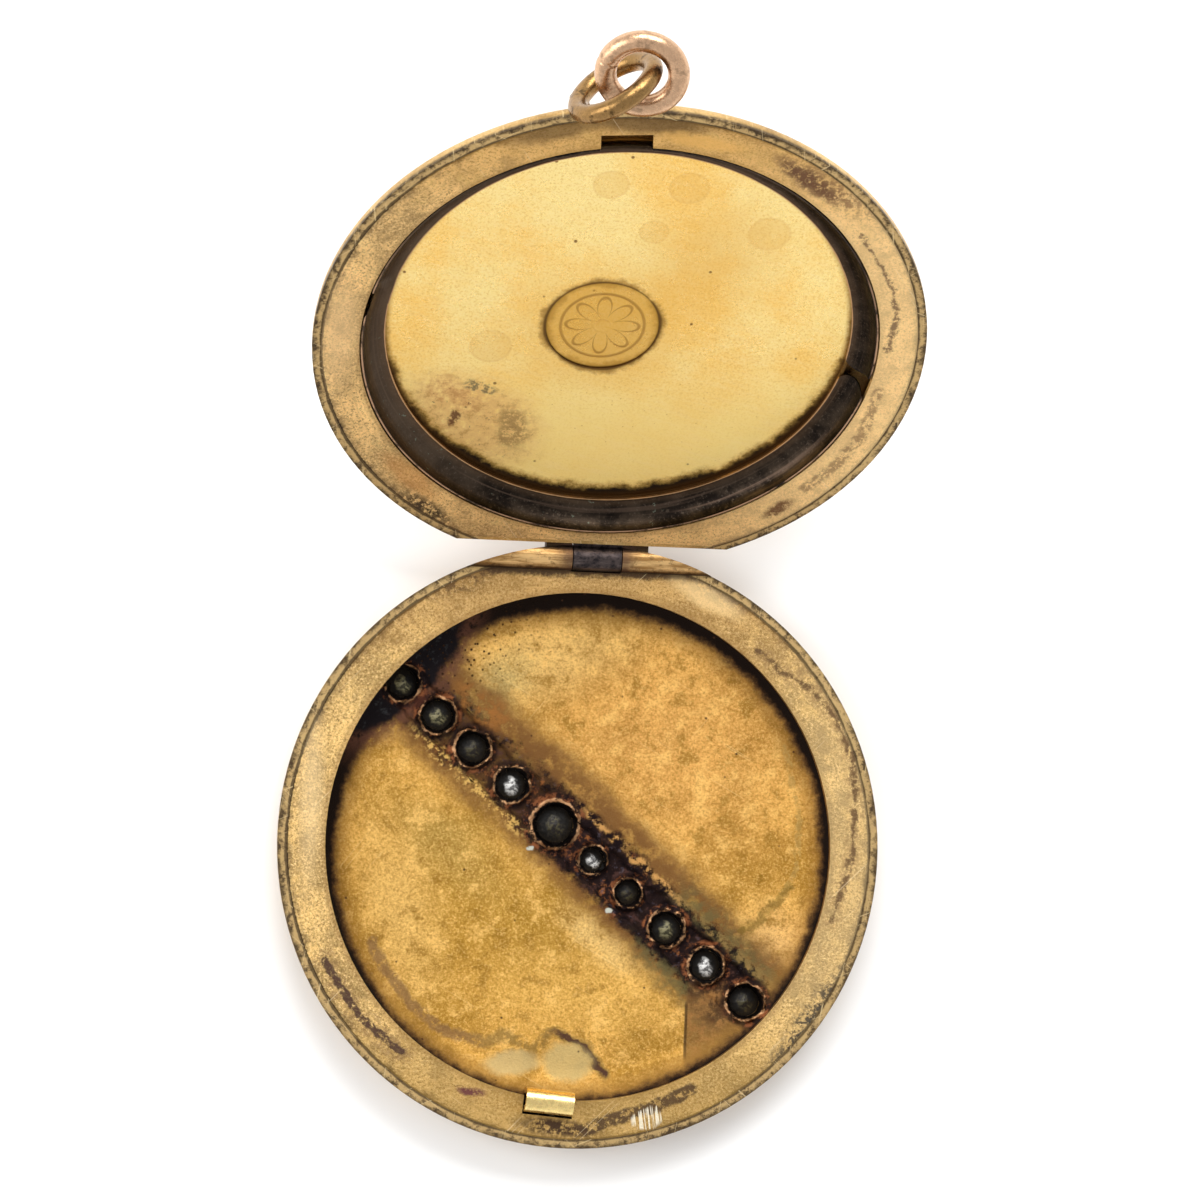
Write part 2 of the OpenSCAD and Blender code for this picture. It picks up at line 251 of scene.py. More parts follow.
    def mix(self, mask, a, b):
        n = self.node("ShaderNodeMix", data_type="RGBA")
        self.put(mask, n.inputs[0])
        self.put(a, n.inputs[6])
        self.put(b, n.inputs[7])
        return n.outputs[2]

    def blend(self, mask, a, b):
        n = self.node("ShaderNodeMix", data_type="FLOAT")
        for value, socket in ((mask, 0), (a, 2), (b, 3)):
            self.put(value, n.inputs[socket])
        return Num(self, n.outputs[0])

    def coat(self, mask, colour, rough=None, metallic=None):
        """Lays one colour and finish over what is there, where mask is 1."""
        self.colour = self.mix(mask, self.colour, colour)
        if rough is not None:
            self.rough = self.blend(mask, self.rough, rough)
        if metallic is not None:
            self.metallic = self.blend(mask, self.metallic, metallic)

    def scratches(self, turn, colour, amount, fine=14.0, rare=0.735):
        """Sparse hairlines along one direction, in patches."""
        hair = self.noise(0.8, 1, 0.4, (0.22, fine, 1), turn)
        patch = self.noise(0.28, 2, 0.5)
        self.coat(self.step(hair, rare, rare + 0.03) * self.step(patch, 0.46, 0.58) * amount, colour)

    def raise_by(self, height):
        """Adds to the relief, in millimetres."""
        self.height = height if self.height is None else self.height + height

    def done(self):
        shader = self.node("ShaderNodeBsdfPrincipled")
        self.put(self.colour, shader.inputs["Base Color"])
        self.put(self.rough, shader.inputs["Roughness"])
        self.put(self.metallic, shader.inputs["Metallic"])
        if self.height is not None:
            bump = self.node("ShaderNodeBump")
            bump.inputs["Distance"].default_value = MM
            self.link(self.height, bump.inputs["Height"])
            self.link(bump.outputs[0], shader.inputs["Normal"])
        out = self.node("ShaderNodeOutputMaterial")
        self.link(shader.outputs[0], out.inputs[0])
        return self.material


def satin(s, fine):
    """The sandy grain of dulled gold."""
    grain = s.noise(7.6, 5, 0.80)
    s.raise_by(grain * (0.050 * fine))
    return grain


def speckle(s, grain, light, dark, amount):
    """Light and dark grains of sand."""
    s.coat(s.step(grain, 0.51, 0.61) * amount, light)
    s.coat(s.step(grain, 0.49, 0.39) * (amount * 1.2), dark)


def row_spot(i):
    """Where stone i is, in the millimetres of the front cover."""
    return (STONE_AT[i] * math.cos(ROW_TURN) - ROW_SIDE * math.sin(ROW_TURN),
            STONE_AT[i] * math.sin(ROW_TURN) + ROW_SIDE * math.cos(ROW_TURN))


def near_holes(s):
    """Distance from the nearest torn hole, 1 on its edge."""
    nearest = None
    for i, radius in enumerate(HOLE_R):
        one = s.away(*row_spot(i), radius)
        nearest = one if nearest is None else nearest.min(one)
    return nearest


def floor_gold():
    """The hollow of the front cover: sandy gold, oxidised black along the stones and at the upper left wall, with
    painted shade under the rim.
    """
    s = Shade("floor_gold", FRONT, (0.60, 0.335, 0.075), 0.42)
    grain = satin(s, 1.0)
    cloud = s.noise(0.24, 5, 0.62)
    s.colour = s.mix(s.step(cloud, 0.38, 0.60), (0.37, 0.195, 0.032), (0.64, 0.355, 0.082))
    s.warp(0.6, 0.8)
    for x, y, rx, ry, turn, soft, share, colour in (
            (4.5, 5.2, 6.5, 5.0, 0, 0.9, 0.5, (0.68, 0.345, 0.105)),
            (-4.6, -3.4, 5.4, 3.4, -35, 0.9, 0.75, (0.36, 0.205, 0.034)),
            (-7.0, -6.6, 4.6, 4.6, 0, 0.9, 0.45, (0.40, 0.21, 0.028)),
            (1.2, -7.2, 4.2, 2.0, 0, 0.9, 0.55, (0.78, 0.46, 0.115)),
            (9.4, -5.6, 1.8, 2.6, -35, 0.8, 0.65, (0.80, 0.50, 0.21)),
            (-8.6, -3.6, 1.5, 3.8, 14, 0.9, 0.55, (0.74, 0.47, 0.15)),
            (-2.0, 9.2, 4.0, 1.6, 20, 0.9, 0.55, (0.72, 0.49, 0.18)),
            (1.4, -4.6, 2.2, 0.8, -38, 0.6, 0.6, (0.76, 0.52, 0.20)),
            (-4.3, 7.6, 1.1, 1.9, -35, 0.8, 0.75, (0.36, 0.285, 0.11)),
            (-6.4, -0.2, 2.6, 1.3, -42, 0.9, 0.6, (0.36, 0.24, 0.065))):
        s.coat(s.blot(x, y, rx, ry, turn, soft) * share, colour)
    patina = s.noise(0.85, 6, 0.68)
    s.coat(s.step(patina, 0.52, 0.64) * 0.55, (0.82, 0.50, 0.15))
    s.coat(s.step(patina, 0.48, 0.36) * 0.70, (0.27, 0.140, 0.022))
    speckle(s, grain, (0.88, 0.57, 0.19), (0.22, 0.105, 0.016), 0.42)
    for turn in (0.9, -0.5):
        s.scratches(turn, (0.84, 0.60, 0.25), 0.30)
    # the stone row
    u = s.x * math.cos(ROW_TURN) + s.y * math.sin(ROW_TURN)
    v = s.y * math.cos(ROW_TURN) - s.x * math.sin(ROW_TURN) - ROW_SIDE
    ragged = s.noise(0.9, 7, 0.74) - 0.5
    wide = s.noise(0.25, 2, 0.5) - 0.5
    side = (v - 0.1).abs() + ragged * 1.7 + wide * 1.0
    above = s.step(v, 0.3, 1.3)
    blotchy = s.noise(0.75, 6, 0.7)
    # brown halo round the row: mottled tarnish, spread wider above the row (above) as painted shade on the slope
    # there
    s.coat(s.step(side - above * 0.6, 3.2, 1.7) * 0.66, (0.25, 0.135, 0.036), 0.42)
    s.coat(s.step(side - above * 0.5, 2.6, 1.6) * s.step(blotchy, 0.36, 0.50) * 0.85, (0.15, 0.068, 0.024), 0.45)
    s.coat(s.step(side, 1.78, 1.34) * (s.step(u, -5.5, -1.0) * 0.42 + 0.56), (0.013, 0.0080, 0.0085), 0.42)
    mottle = s.noise(1.7, 7, 0.74)
    s.coat(s.step(mottle, 0.53, 0.62) * s.step(side, 1.9, 1.1) * 0.75, (0.075, 0.036, 0.029), 0.5)
    s.coat(s.step(mottle, 0.47, 0.40) * s.step(side, 1.9, 1.3) * 0.85, (0.009, 0.006, 0.007), 0.4)
    s.coat(s.step(s.noise(1.25, 7, 0.72), 0.56, 0.64) * s.step(side, 1.9, 1.0) * 0.8, (0.27, 0.095, 0.030), 0.45)
    s.coat(s.step(s.noise(3.0, 5, 0.7), 0.58, 0.66) * s.step(side, 1.8, 1.0) * 0.55, (0.085, 0.070, 0.085), 0.32)
    s.coat(s.blot(-5.0, 6.7, 1.5, 0.7, -35, 0.6) * s.step(blotchy, 0.42, 0.55) * 0.9, (0.30, 0.125, 0.032), 0.42)
    s.coat(s.blot(-1.2, 3.9, 2.6, 0.7, -32, 0.7) * s.step(mottle, 0.44, 0.56) * 0.8, (0.17, 0.080, 0.026), 0.45)
    crust = s.step((v + 1.35).abs() + ragged * 1.3, 0.45, 0.15) * s.step(u, -10.6, -9.2) * s.step(u, -0.8, -3.6)
    s.coat(crust * s.step(s.noise(3.6, 5, 0.7), 0.48, 0.58) * 0.85, (0.64, 0.40, 0.11), 0.36)
    # painted highlight: a broken orange line along the upper edge of the row's groove
    groove_edge_highlight = s.step((v - 1.5).abs() + ragged * 1.2, 0.30, 0.08) * s.step(u, -2.5, -0.5)
    s.coat(groove_edge_highlight * s.step(mottle, 0.46, 0.56) * 0.8, (0.62, 0.33, 0.10), 0.36)
    green = s.step(u, 4.2, 6.6) * s.step(side, 2.9, 1.7) * s.step(v.abs(), 0.9, 1.5)
    s.coat(green * s.step(mottle, 0.38, 0.56) * 0.75, (0.130, 0.108, 0.042), 0.5)
    # brown varnish below the last stone, with a straight dried edge
    varnish = s.step(s.x, 5.75, 5.95) * s.step(v, 0.4, -0.6) * s.step(u, 8.2, 9.6)
    s.coat(varnish * 0.70, (0.115, 0.058, 0.024), 0.4)
    s.coat(varnish * s.step(mottle, 0.46, 0.58) * 0.7, (0.30, 0.145, 0.045), 0.38)
    s.coat(s.step((s.x - 5.85).abs(), 0.10, 0.04) * s.step(s.y, -7.4, -7.8) * s.step(s.y, -10.6, -10.2) * 0.8,
           (0.05, 0.028, 0.015), 0.5)
    # painted shade under the rim: thick and black at the upper left, thin and soft at the lower right
    drift = s.noise(0.5, 3, 0.5) - 0.5
    fringe = s.noise(1.9, 7, 0.75) - 0.5
    edge = s.r + drift * 0.5 + fringe * 0.75 + (s.y - s.x) * 0.018 - s.step(s.x + s.y, -5, -15) * 0.3
    shadow = s.step(edge, 10.9, 12.1)
    s.coat(shadow * 0.66, (0.20, 0.098, 0.022), 0.45)
    # painted shade: darker again low down, on the curved wall below the stones
    s.coat(shadow * s.step(s.y, -5, -10) * 0.5, (0.25, 0.14, 0.035), 0.5)
    s.coat(s.step(edge, 11.75, 12.15) * 0.85, (0.075, 0.038, 0.018), 0.5)
    s.coat(s.step(edge, 11.98, 12.30) * 0.98, (0.011, 0.0075, 0.0065), 0.5)
    # oxide that creeps in from the upper left wall
    creep = s.away(-9.3, 8.5, 3.8, 1.70, 47)
    s.coat(s.step(creep, 1.75, 1.05) * s.step(fringe, -0.14, 0.02) * 0.9, (0.12, 0.052, 0.032), 0.5)
    s.coat(s.step(creep, 1.22, 0.98), (0.011, 0.009, 0.010), 0.45)
    s.coat(s.step(creep, 1.1, 0.8) * s.step(s.noise(2.4, 6, 0.75), 0.54, 0.64) * 0.6, (0.050, 0.052, 0.054), 0.38)
    s.coat(s.blot(-8.3, 7.1, 0.75, 0.5, 20, 0.5) * s.step(mottle, 0.42, 0.54), (0.24, 0.075, 0.040), 0.45)
    pits = s.step(s.cells(3.4), 0.27, 0.13) * s.blot(-5.8, 9.5, 3.6, 1.9, 32, 0.7)
    s.coat(pits * 0.95, (0.040, 0.020, 0.010), 0.6)
    s.raise_by(pits * -0.03)
    # torn holes: painted shade, black round and inside each hole, copper-brown on the burrs, and a painted
    # highlight on the burrs' edges
    s.warp(0.20, 1.9)
    near = near_holes(s)
    burr = s.noise(1.5, 6, 0.74)
    # painted shade: a black ring round each hole
    s.coat(s.step(near, 2.0, 1.6) * 0.8, (0.014, 0.0085, 0.0085), 0.42)
    s.coat(s.step(near, 1.85, 1.6) * s.step(near, 1.25, 1.42) * s.step(burr, 0.50, 0.58) * 0.85,
           (0.24, 0.085, 0.034), 0.42)
    # painted highlight on the burrs' edges
    burr_edge_highlight = s.step(near, 1.44, 1.36) * s.step(near, 1.20, 1.28) * s.step(burr, 0.43, 0.51)
    s.coat(burr_edge_highlight * 0.9, (0.60, 0.34, 0.17), 0.32)
    # painted shade: black in the mouth of each hole
    s.coat(s.step(near, 1.30, 1.14), (0.006, 0.0045, 0.004), 0.5)
    # dried stains
    s.warp(0.30, 1.7)
    mud = s.noise(2.2, 6, 0.72)
    line = s.trail((-10.0, -5.2), (-9.3, -6.4), (-8.0, -8.0), (-6.5, -9.3), (-4.1, -9.95), (-3.2, -9.45),
                   (-2.3, -9.9), (-1.9, -10.4), (-0.8, -9.2), (0.9, -9.95), (1.5, -10.9), (1.9, -11.3))
    ring = line + (mud - 0.5) * 0.55
    ring_brown = s.mix(s.step(s.x, -5.5, -3.5), (0.19, 0.105, 0.048), (0.22, 0.135, 0.038))
    s.coat(s.step(ring, 0.42, 0.16) * s.step(mud, 0.34, 0.50) * 0.75, ring_brown, 0.5)
    s.coat(s.step(ring, 0.20, 0.06) * s.step(s.x, -1.4, -0.2) * 0.92, (0.060, 0.028, 0.024), 0.5)
    s.coat(s.blot(-2.8, -10.85, 1.35, 0.60, 4, 0.3) * 0.8, (0.47, 0.36, 0.165), 0.5)
    s.coat(s.blot(0.0, -10.75, 1.25, 0.95, -6, 0.25) * 0.8, (0.46, 0.355, 0.155), 0.5)
    right = s.trail((10.3, 5.4), (11.2, 1.7), (11.05, -0.9), (10.5, -2.0))
    s.coat(s.step(right, 0.20, 0.10) * s.step(mud, 0.42, 0.54) * 0.55, (0.36, 0.24, 0.075), 0.45)
    olive = s.trail((10.7, -1.6), (9.9, -2.7), (9.3, -3.5), (8.5, -3.75))
    olive_tone = s.mix(s.step(mud, 0.42, 0.58), (0.17, 0.105, 0.022), (0.36, 0.23, 0.055))
    s.coat(s.step(olive + (mud - 0.5) * 1.3, 0.34, 0.06) * 0.7, olive_tone, 0.5)
    specks = s.step(s.cells(0.9), 0.075, 0.035)
    s.coat(specks * 0.85, (0.07, 0.035, 0.02), 0.6)
    for x, y in ((-2.3, -0.2), (1.8, -3.1)):
        s.coat(s.blot(x, y, 0.19, 0.13, 20, 0.3), (0.42, 0.43, 0.36), 0.4, 0.0)
    s.rough = s.rough + (s.noise(1.6, 4) - 0.5) * 0.16
    return s.done()


def rim_gold(name, place, tone):
    """The flat rim of a cover: tan satin gold, with a dark seam against the shell's lip. Returns the shade, and
    the coarse and fine noise of its dirt."""
    s = Shade(name, place, tone, 0.40)
    grain = satin(s, 1.0)
    cloud = s.noise(0.36, 6, 0.68)
    s.colour = s.mix(s.step(cloud, 0.38, 0.61), [c * 0.62 for c in tone], [min(1, c * 1.10) for c in tone])
    speckle(s, grain, (0.94, 0.68, 0.32), [c * 0.26 for c in tone], 0.72)
    lathe = s.turned(9, 7)
    s.coat(s.step(lathe, 0.52, 0.64) * 0.28, [c * 0.5 for c in tone])
    s.raise_by(lathe * 0.008)
    s.warp(0.30, 1.6)
    dirt = s.noise(0.8, 7, 0.74)
    fleck = s.noise(3.0, 7, 0.76)
    s.coat(s.step(dirt, 0.53, 0.64) * 0.60, [c * 0.38 for c in tone], 0.45)
    s.coat(s.step(dirt, 0.46, 0.36) * 0.30, [min(1, c * 1.3) for c in tone])
    # dirt gathers against the lip
    worn = s.r + (dirt - 0.5) * 1.5 + (fleck - 0.5) * 1.1
    s.coat(s.step(worn, 14.15, 14.75) * 0.75, (0.13, 0.082, 0.040), 0.45)
    s.coat(s.step(worn, 14.55, 14.85) * 0.75, (0.035, 0.023, 0.016), 0.5)
    s.coat(s.step(s.r + (fleck - 0.5) * 0.20, 14.46, 14.50) * 0.88, (0.028, 0.018, 0.012), 0.5)
    s.coat(s.step(s.r + (dirt - 0.5) * 0.6, 13.0, 12.72) * 0.45, (0.26, 0.15, 0.055))
    return s, dirt, fleck


def front_rim_gold():
    """The front rim, darker brown towards the hinge and stained brown low down."""
    s, dirt, fleck = rim_gold("front_rim_gold", FRONT, (0.68, 0.44, 0.162))
    # darker towards the hinge, brown blots low down
    s.coat(s.step(s.y + (dirt - 0.5) * 9, 7, 13) * 0.50, (0.30, 0.160, 0.050))
    s.coat(s.step(s.y + (dirt - 0.5) * 8, -7, -13) * 0.6, (0.31, 0.185, 0.050))
    s.coat(s.step(s.x + (dirt - 0.5) * 6, 8, 14) * 0.4, (0.50, 0.36, 0.175))
    crease = s.step(s.y + (fleck - 0.5) * 0.9, 13.25, 13.60) * s.step(s.x.abs(), 6.4, 5.2)
    s.coat(crease * 0.9, (0.050, 0.030, 0.020), 0.5)
    s.coat(s.blot(6.4, 12.9, 1.5, 0.45, -24, 0.5) * s.step(fleck, 0.42, 0.52) * 0.85, (0.070, 0.045, 0.030), 0.5)
    s.coat(s.blot(-6.2, 12.9, 1.6, 0.50, 25, 0.6) * s.step(fleck, 0.46, 0.56) * 0.75, (0.11, 0.062, 0.030), 0.5)
    spots = s.step(fleck, 0.40, 0.52)
    s.coat(s.blot(-0.4, -14.0, 1.9, 0.42, -4, 0.5) * spots * 0.95, (0.050, 0.028, 0.020), 0.5)
    s.coat(s.blot(-4.9, -12.3, 0.7, 0.20, -8, 0.4) * s.step(fleck, 0.36, 0.46) * 0.95, (0.13, 0.045, 0.045), 0.5)
    s.coat(s.blot(-12.9, 7.6, 0.5, 0.3, 30, 0.5) * 0.8, (0.26, 0.10, 0.045), 0.5)
    s.coat(s.blot(11.9, -8.2, 3.0, 0.62, 56, 0.6) * s.step(fleck, 0.47, 0.55) * 0.9, (0.055, 0.048, 0.040), 0.5)
    s.warp(0.26, 2.0)
    low_left = s.trail((-12.4, -6.1), (-11.4, -7.7), (-10.5, -8.9), (-9.2, -9.95), (-8.4, -10.5))
    s.coat(s.step(low_left, 0.80, 0.35) * s.step(fleck, 0.46, 0.56) * 0.6, (0.22, 0.13, 0.06), 0.45)
    s.coat(s.step(low_left, 0.24, 0.14) * s.step(fleck, 0.34, 0.48) * 0.9, (0.065, 0.036, 0.030), 0.5)
    right = s.trail((8.6, 10.1), (9.9, 9.1), (11.4, 8.3), (12.7, 6.8), (13.6, 4.8), (13.8, 2.3), (13.7, -0.1),
                    (13.3, -1.6), (12.8, -3.2))
    s.coat(s.step(right, 0.65, 0.20) * s.step(fleck, 0.46, 0.56) * 0.6, (0.30, 0.185, 0.080), 0.45)
    s.coat(s.step(right + (dirt - 0.5) * 0.9, 0.20, 0.04) * s.step(fleck, 0.38, 0.52) * 0.8,
           (0.105, 0.058, 0.032), 0.5)
    bottom = s.trail((0.9, -14.0), (2.1, -13.5), (3.9, -12.9), (5.1, -12.4), (6.1, -11.8))
    s.coat(s.step(bottom, 0.40, 0.22) * s.step(fleck, 0.38, 0.50) * 0.9, (0.075, 0.044, 0.026), 0.5)
    s.coat(s.blot(6.0, 12.6, 1.8, 0.5, -25, 0.5) * 0.6, (0.84, 0.60, 0.29), 0.3)
    s.coat(s.blot(-13.4, 2.0, 0.5, 3.5, 0, 0.8) * 0.4, (0.80, 0.60, 0.33))
    # hatched scratches
    hatch = s.noise(1.0, 1, 0.3, (11.0, 0.55, 1), 0.15)
    s.coat(s.step(hatch, 0.49, 0.58) * s.blot(4.0, -13.35, 0.85, 0.50, 20, 0.2) * 0.8, (0.80, 0.74, 0.58), 0.3)
    for turn in (0.8, -0.6):
        s.scratches(turn, (0.88, 0.70, 0.42), 0.35, 11.0, 0.72)
    s.rough = s.rough + (s.noise(1.6, 4) - 0.5) * 0.16
    return s.done()


def back_rim_gold():
    """The back rim, paler on the right and dark by the loop and the hinge."""
    s, dirt, fleck = rim_gold("back_rim_gold", BACK, (0.90, 0.58, 0.235))
    spots = s.step(fleck, 0.38, 0.52)
    s.coat(s.step(s.x + (dirt - 0.5) * 5, 3, 11) * 0.5, (1.0, 0.70, 0.33))
    s.coat(s.step(s.y + (dirt - 0.5) * 8, -7, -13) * 0.5, (0.56, 0.30, 0.065), 0.4)
    s.coat(s.step(s.y + (dirt - 0.5) * 6, 8, 14) * 0.25, (0.46, 0.25, 0.095))
    crease = s.step(s.y + (fleck - 0.5) * 0.5, 13.35, 13.62) * s.step(s.x.abs(), 6.2, 5.2)
    s.coat(crease * 0.9, (0.035, 0.022, 0.016), 0.5)
    s.coat(s.blot(8.0, -11.1, 2.1, 0.5, 38, 0.5) * spots * 0.9, (0.10, 0.045, 0.032), 0.45)
    s.coat(s.blot(9.2, -10.5, 2.4, 0.7, 38, 0.7) * s.step(fleck, 0.46, 0.56) * 0.7, (0.20, 0.10, 0.05), 0.45)
    s.coat(s.blot(-9.4, 9.4, 1.9, 0.6, 46, 0.5) * 0.55, (0.50, 0.22, 0.06), 0.4)
    s.coat(s.blot(-8.4, 11.4, 1.5, 0.42, 36, 0.6) * s.step(fleck, 0.42, 0.52) * 0.95, (0.045, 0.028, 0.018), 0.5)
    s.coat(s.blot(9.0, 10.5, 0.8, 0.35, -40, 0.5) * spots * 0.9, (0.13, 0.055, 0.026), 0.5)
    s.warp(0.26, 2.0)
    right = s.trail((10.9, -7.7), (12.0, -6.0), (12.9, -4.4), (13.3, -2.6), (13.1, -0.4))
    s.coat(s.step(right + (dirt - 0.5) * 0.8, 0.22, 0.05) * s.step(fleck, 0.40, 0.52) * 0.8,
           (0.13, 0.070, 0.045), 0.45)
    low_right = s.trail((13.0, 2.4), (12.6, 5.2), (11.6, 7.2), (10.2, 9.0))
    s.coat(s.step(low_right, 0.42, 0.18) * s.step(fleck, 0.44, 0.54) * 0.7, (0.24, 0.135, 0.065), 0.45)
    s.coat(s.blot(-13.7, 0, 0.8, 3.0, 0, 0.8) * 0.5, (0.88, 0.60, 0.30))
    s.coat(s.blot(-4.6, -13.4, 2.2, 0.5, -18, 0.6) * 0.7, (0.10, 0.058, 0.024), 0.45)
    s.coat(s.blot(0, -14.2, 3.0, 0.6, 0, 0.6) * 0.75, (0.09, 0.05, 0.022), 0.45)
    s.coat(s.blot(2.6, -13.2, 1.9, 0.4, 10, 0.5) * 0.7, (0.80, 0.46, 0.13), 0.3)
    s.scratches(1.0, (0.92, 0.74, 0.46), 0.30, 11.0, 0.72)
    s.rough = s.rough + (s.noise(1.6, 4) - 0.5) * 0.16
    return s.done()


def plate_gold():
    """The bright inner plate, with faint round stains, a corroded patch and a dark fringe by the hinge."""
    s = Shade("plate_gold", BACK, (0.93, 0.62, 0.19), 0.28)
    grain = satin(s, 0.45)
    cloud = s.noise(0.16, 5, 0.6)
    s.colour = s.mix(s.step(cloud, 0.36, 0.64), (0.98, 0.62, 0.165), (1.0, 0.78, 0.31))
    speckle(s, grain, (1.0, 0.82, 0.44), (0.62, 0.31, 0.05), 0.36)
    s.coat(s.step(s.y, 1.0, 7.5) * 0.7, (1.0, 0.77, 0.28), 0.5)
    brushed = s.noise(0.6, 4, 0.6, (1.0, 7, 1), 0.3)
    s.coat(s.step(brushed, 0.45, 0.65) * 0.18, (1.0, 0.76, 0.36))
    s.warp(0.05, 2.5)
    for x, y, r in ((-1.3, -9.0, 0.85), (2.5, -9.0, 0.95), (6.7, -6.3, 1.0), (-6.1, 1.8, 1.0), (1.1, -6.1, 0.7)):
        s.coat(s.tide(x, y, r, 0.10) * 0.22, (0.66, 0.36, 0.10))
        s.coat(s.blot(x, y, r, r, 0, 0.10) * 0.30, (0.78, 0.45, 0.11))
    s.warp(0.6, 0.9)
    s.coat(s.blot(4.2, -4.6, 2.6, 3.4, 30, 0.9) * 0.45, (0.76, 0.42, 0.085))
    s.coat(s.blot(-0.8, 0.2, 4.2, 3.7, 0, 0.35) * 0.35, (0.80, 0.46, 0.10))
    # corrosion, lower left in the open locket
    mud = s.noise(1.6, 7, 0.75)
    crumb = s.noise(3.2, 6, 0.75)
    patch = s.blot(-6.6, 6.6, 3.5, 2.3, 32, 0.4)
    s.coat(patch * s.step(mud, 0.30, 0.50) * 0.8, (0.80, 0.50, 0.19), 0.42)
    s.coat(patch * s.step(mud, 0.52, 0.60) * 0.6, (0.52, 0.29, 0.09), 0.5)
    s.coat(s.blot(-7.6, 5.0, 1.5, 0.9, 30, 0.4) * s.step(mud, 0.44, 0.56) * 0.6, (0.62, 0.32, 0.12), 0.45)
    s.coat(s.blot(-4.5, 7.2, 0.75, 1.4, -12, 0.35) * s.step(crumb, 0.38, 0.54) * 0.85, (0.42, 0.27, 0.10), 0.55)
    s.coat(s.blot(-7.4, 6.7, 0.28, 0.5, 15, 0.3) * s.step(crumb, 0.36, 0.5) * 0.9, (0.16, 0.07, 0.035), 0.55)
    s.coat(s.blot(-6.3, 4.5, 0.9, 0.35, 15, 0.3) * s.step(crumb, 0.47, 0.55) * 0.8, (0.17, 0.15, 0.085), 0.55)
    s.coat(patch * s.step(crumb, 0.62, 0.68) * 0.8, (0.14, 0.075, 0.04), 0.55)
    s.raise_by(patch * (mud + crumb) * 0.03)
    # pits
    pits = s.step(s.cells(0.62), 0.07, 0.035)
    s.coat(pits * 0.85, (0.24, 0.12, 0.035), 0.5)
    s.coat(s.step(s.cells(2.4), 0.10, 0.05) * s.blot(1.5, 6.0, 7.5, 3.6, 0, 0.6) * 0.6, (0.55, 0.28, 0.06), 0.5)
    s.raise_by(pits * -0.02)
    # ragged fringe along the frame, heavy on the hinge side
    edge = s.noise(0.5, 4, 0.6) - 0.5
    torn = s.noise(2.0, 7, 0.75) - 0.5
    out = s.r + edge * 1.3 + torn * 0.9 + s.step(s.y, -4, 11) * 0.85
    s.coat(s.step(out, 11.3, 11.8) * 0.7, (0.46, 0.25, 0.05), 0.45)
    s.coat(s.step(out, 11.55, 11.85) * s.step(s.y, -7, 3) * 0.8, (0.15, 0.095, 0.024), 0.5)
    s.coat(s.step(out, 11.75, 12.05) * s.step(s.y, -9, 3), (0.020, 0.012, 0.008), 0.5)
    # painted shade on the plate under the frame's inner edge, black where the frame covers it
    s.coat(s.step(s.r, 11.05, 11.5) * 0.6, (0.20, 0.10, 0.03), 0.5)
    s.coat(s.step(s.r, 12.1, 12.3), (0.010, 0.007, 0.005), 0.6)
    # dark ring round the sunk mark's wall, and a darker floor inside it
    dx, dy = s.x - MARK_AT[0], s.y - MARK_AT[1]
    within = s.math("SQRT", dx * dx + dy * dy)
    ring = (within - MARK_R).abs()
    s.coat(s.step(ring + torn * 0.9 + edge * 0.8, 0.42, 0.05) * 0.75, (0.30, 0.155, 0.035), 0.45)
    s.coat(s.step(ring + edge * 0.3, 0.16, 0.02) * 0.85, (0.10, 0.050, 0.015), 0.5)
    s.coat(s.step(within, MARK_R, MARK_R - 0.1) * 0.60, (0.64, 0.35, 0.06))
    # dirt in the lines of the rosette
    lobe = s.math("POWER", s.math("COSINE", s.math("ARCTAN2", dy, dx) * 4.0).abs(), 0.7) * 1.25 + 0.55
    line = (within - lobe).abs().min((within - 2.05).abs() + 0.01)
    s.coat(s.step(line, 0.13, 0.04) * s.step(within, 2.3, 2.2) * 0.6, (0.30, 0.145, 0.03), 0.45)
    s.rough = s.rough + (s.noise(1.2, 4) - 0.5) * 0.14
    return s.done()


def frame_brown():
    """The thin frame that holds the picture, oxidised nearly black, with painted highlights on both edges and a
    painted soft highlight on the inner slope.
    """
    s = Shade("frame_brown", BACK, (0.060, 0.040, 0.026), 0.36, 1.0)
    cloud = s.noise(0.6, 6, 0.66)
    s.colour = s.mix(s.step(cloud, 0.38, 0.64), (0.010, 0.0075, 0.006), (0.042, 0.030, 0.021))
    lathe = s.turned(7, 7)
    s.coat(s.step(lathe, 0.52, 0.66) * 0.5, (0.10, 0.066, 0.047))
    s.coat(s.step(s.x, -4, -11) * 0.5, (0.115, 0.078, 0.050))
    grain = s.noise(6.5, 4, 0.7)
    s.coat(s.step(grain, 0.54, 0.7) * 0.5, (0.12, 0.090, 0.068))
    s.raise_by(lathe * 0.012 + grain * 0.016)
    edge = s.noise(0.8, 5, 0.65)
    # painted soft highlight on the inner slope of the cove
    s.coat(s.step(s.r + (edge - 0.5) * 0.3, 11.95, 11.5) * 0.30, (0.14, 0.082, 0.045))
    # painted highlight: a pink line along the outer edge, on the hinge side (worn)
    worn = s.step(s.r + (edge - 0.5) * 0.07, 12.54, 12.565) * s.step(s.y + (edge - 0.5) * 6, -7, -1)
    s.coat(worn * s.step(edge, 0.38, 0.52) * 0.7, (0.62, 0.37, 0.22), 0.3)
    # painted highlight along the inner lip
    s.coat(s.step((s.r - 11.42).abs() + (edge - 0.5) * 0.08, 0.05, 0.015) * 0.8, (0.60, 0.34, 0.16), 0.3)
    crumbs = s.step(s.noise(2.4, 5, 0.7), 0.635, 0.68)
    s.coat(crumbs * s.step(s.y - s.x * 0.8, 5, 11) * 0.8, (0.17, 0.19, 0.145), 0.6)
    return s.done()


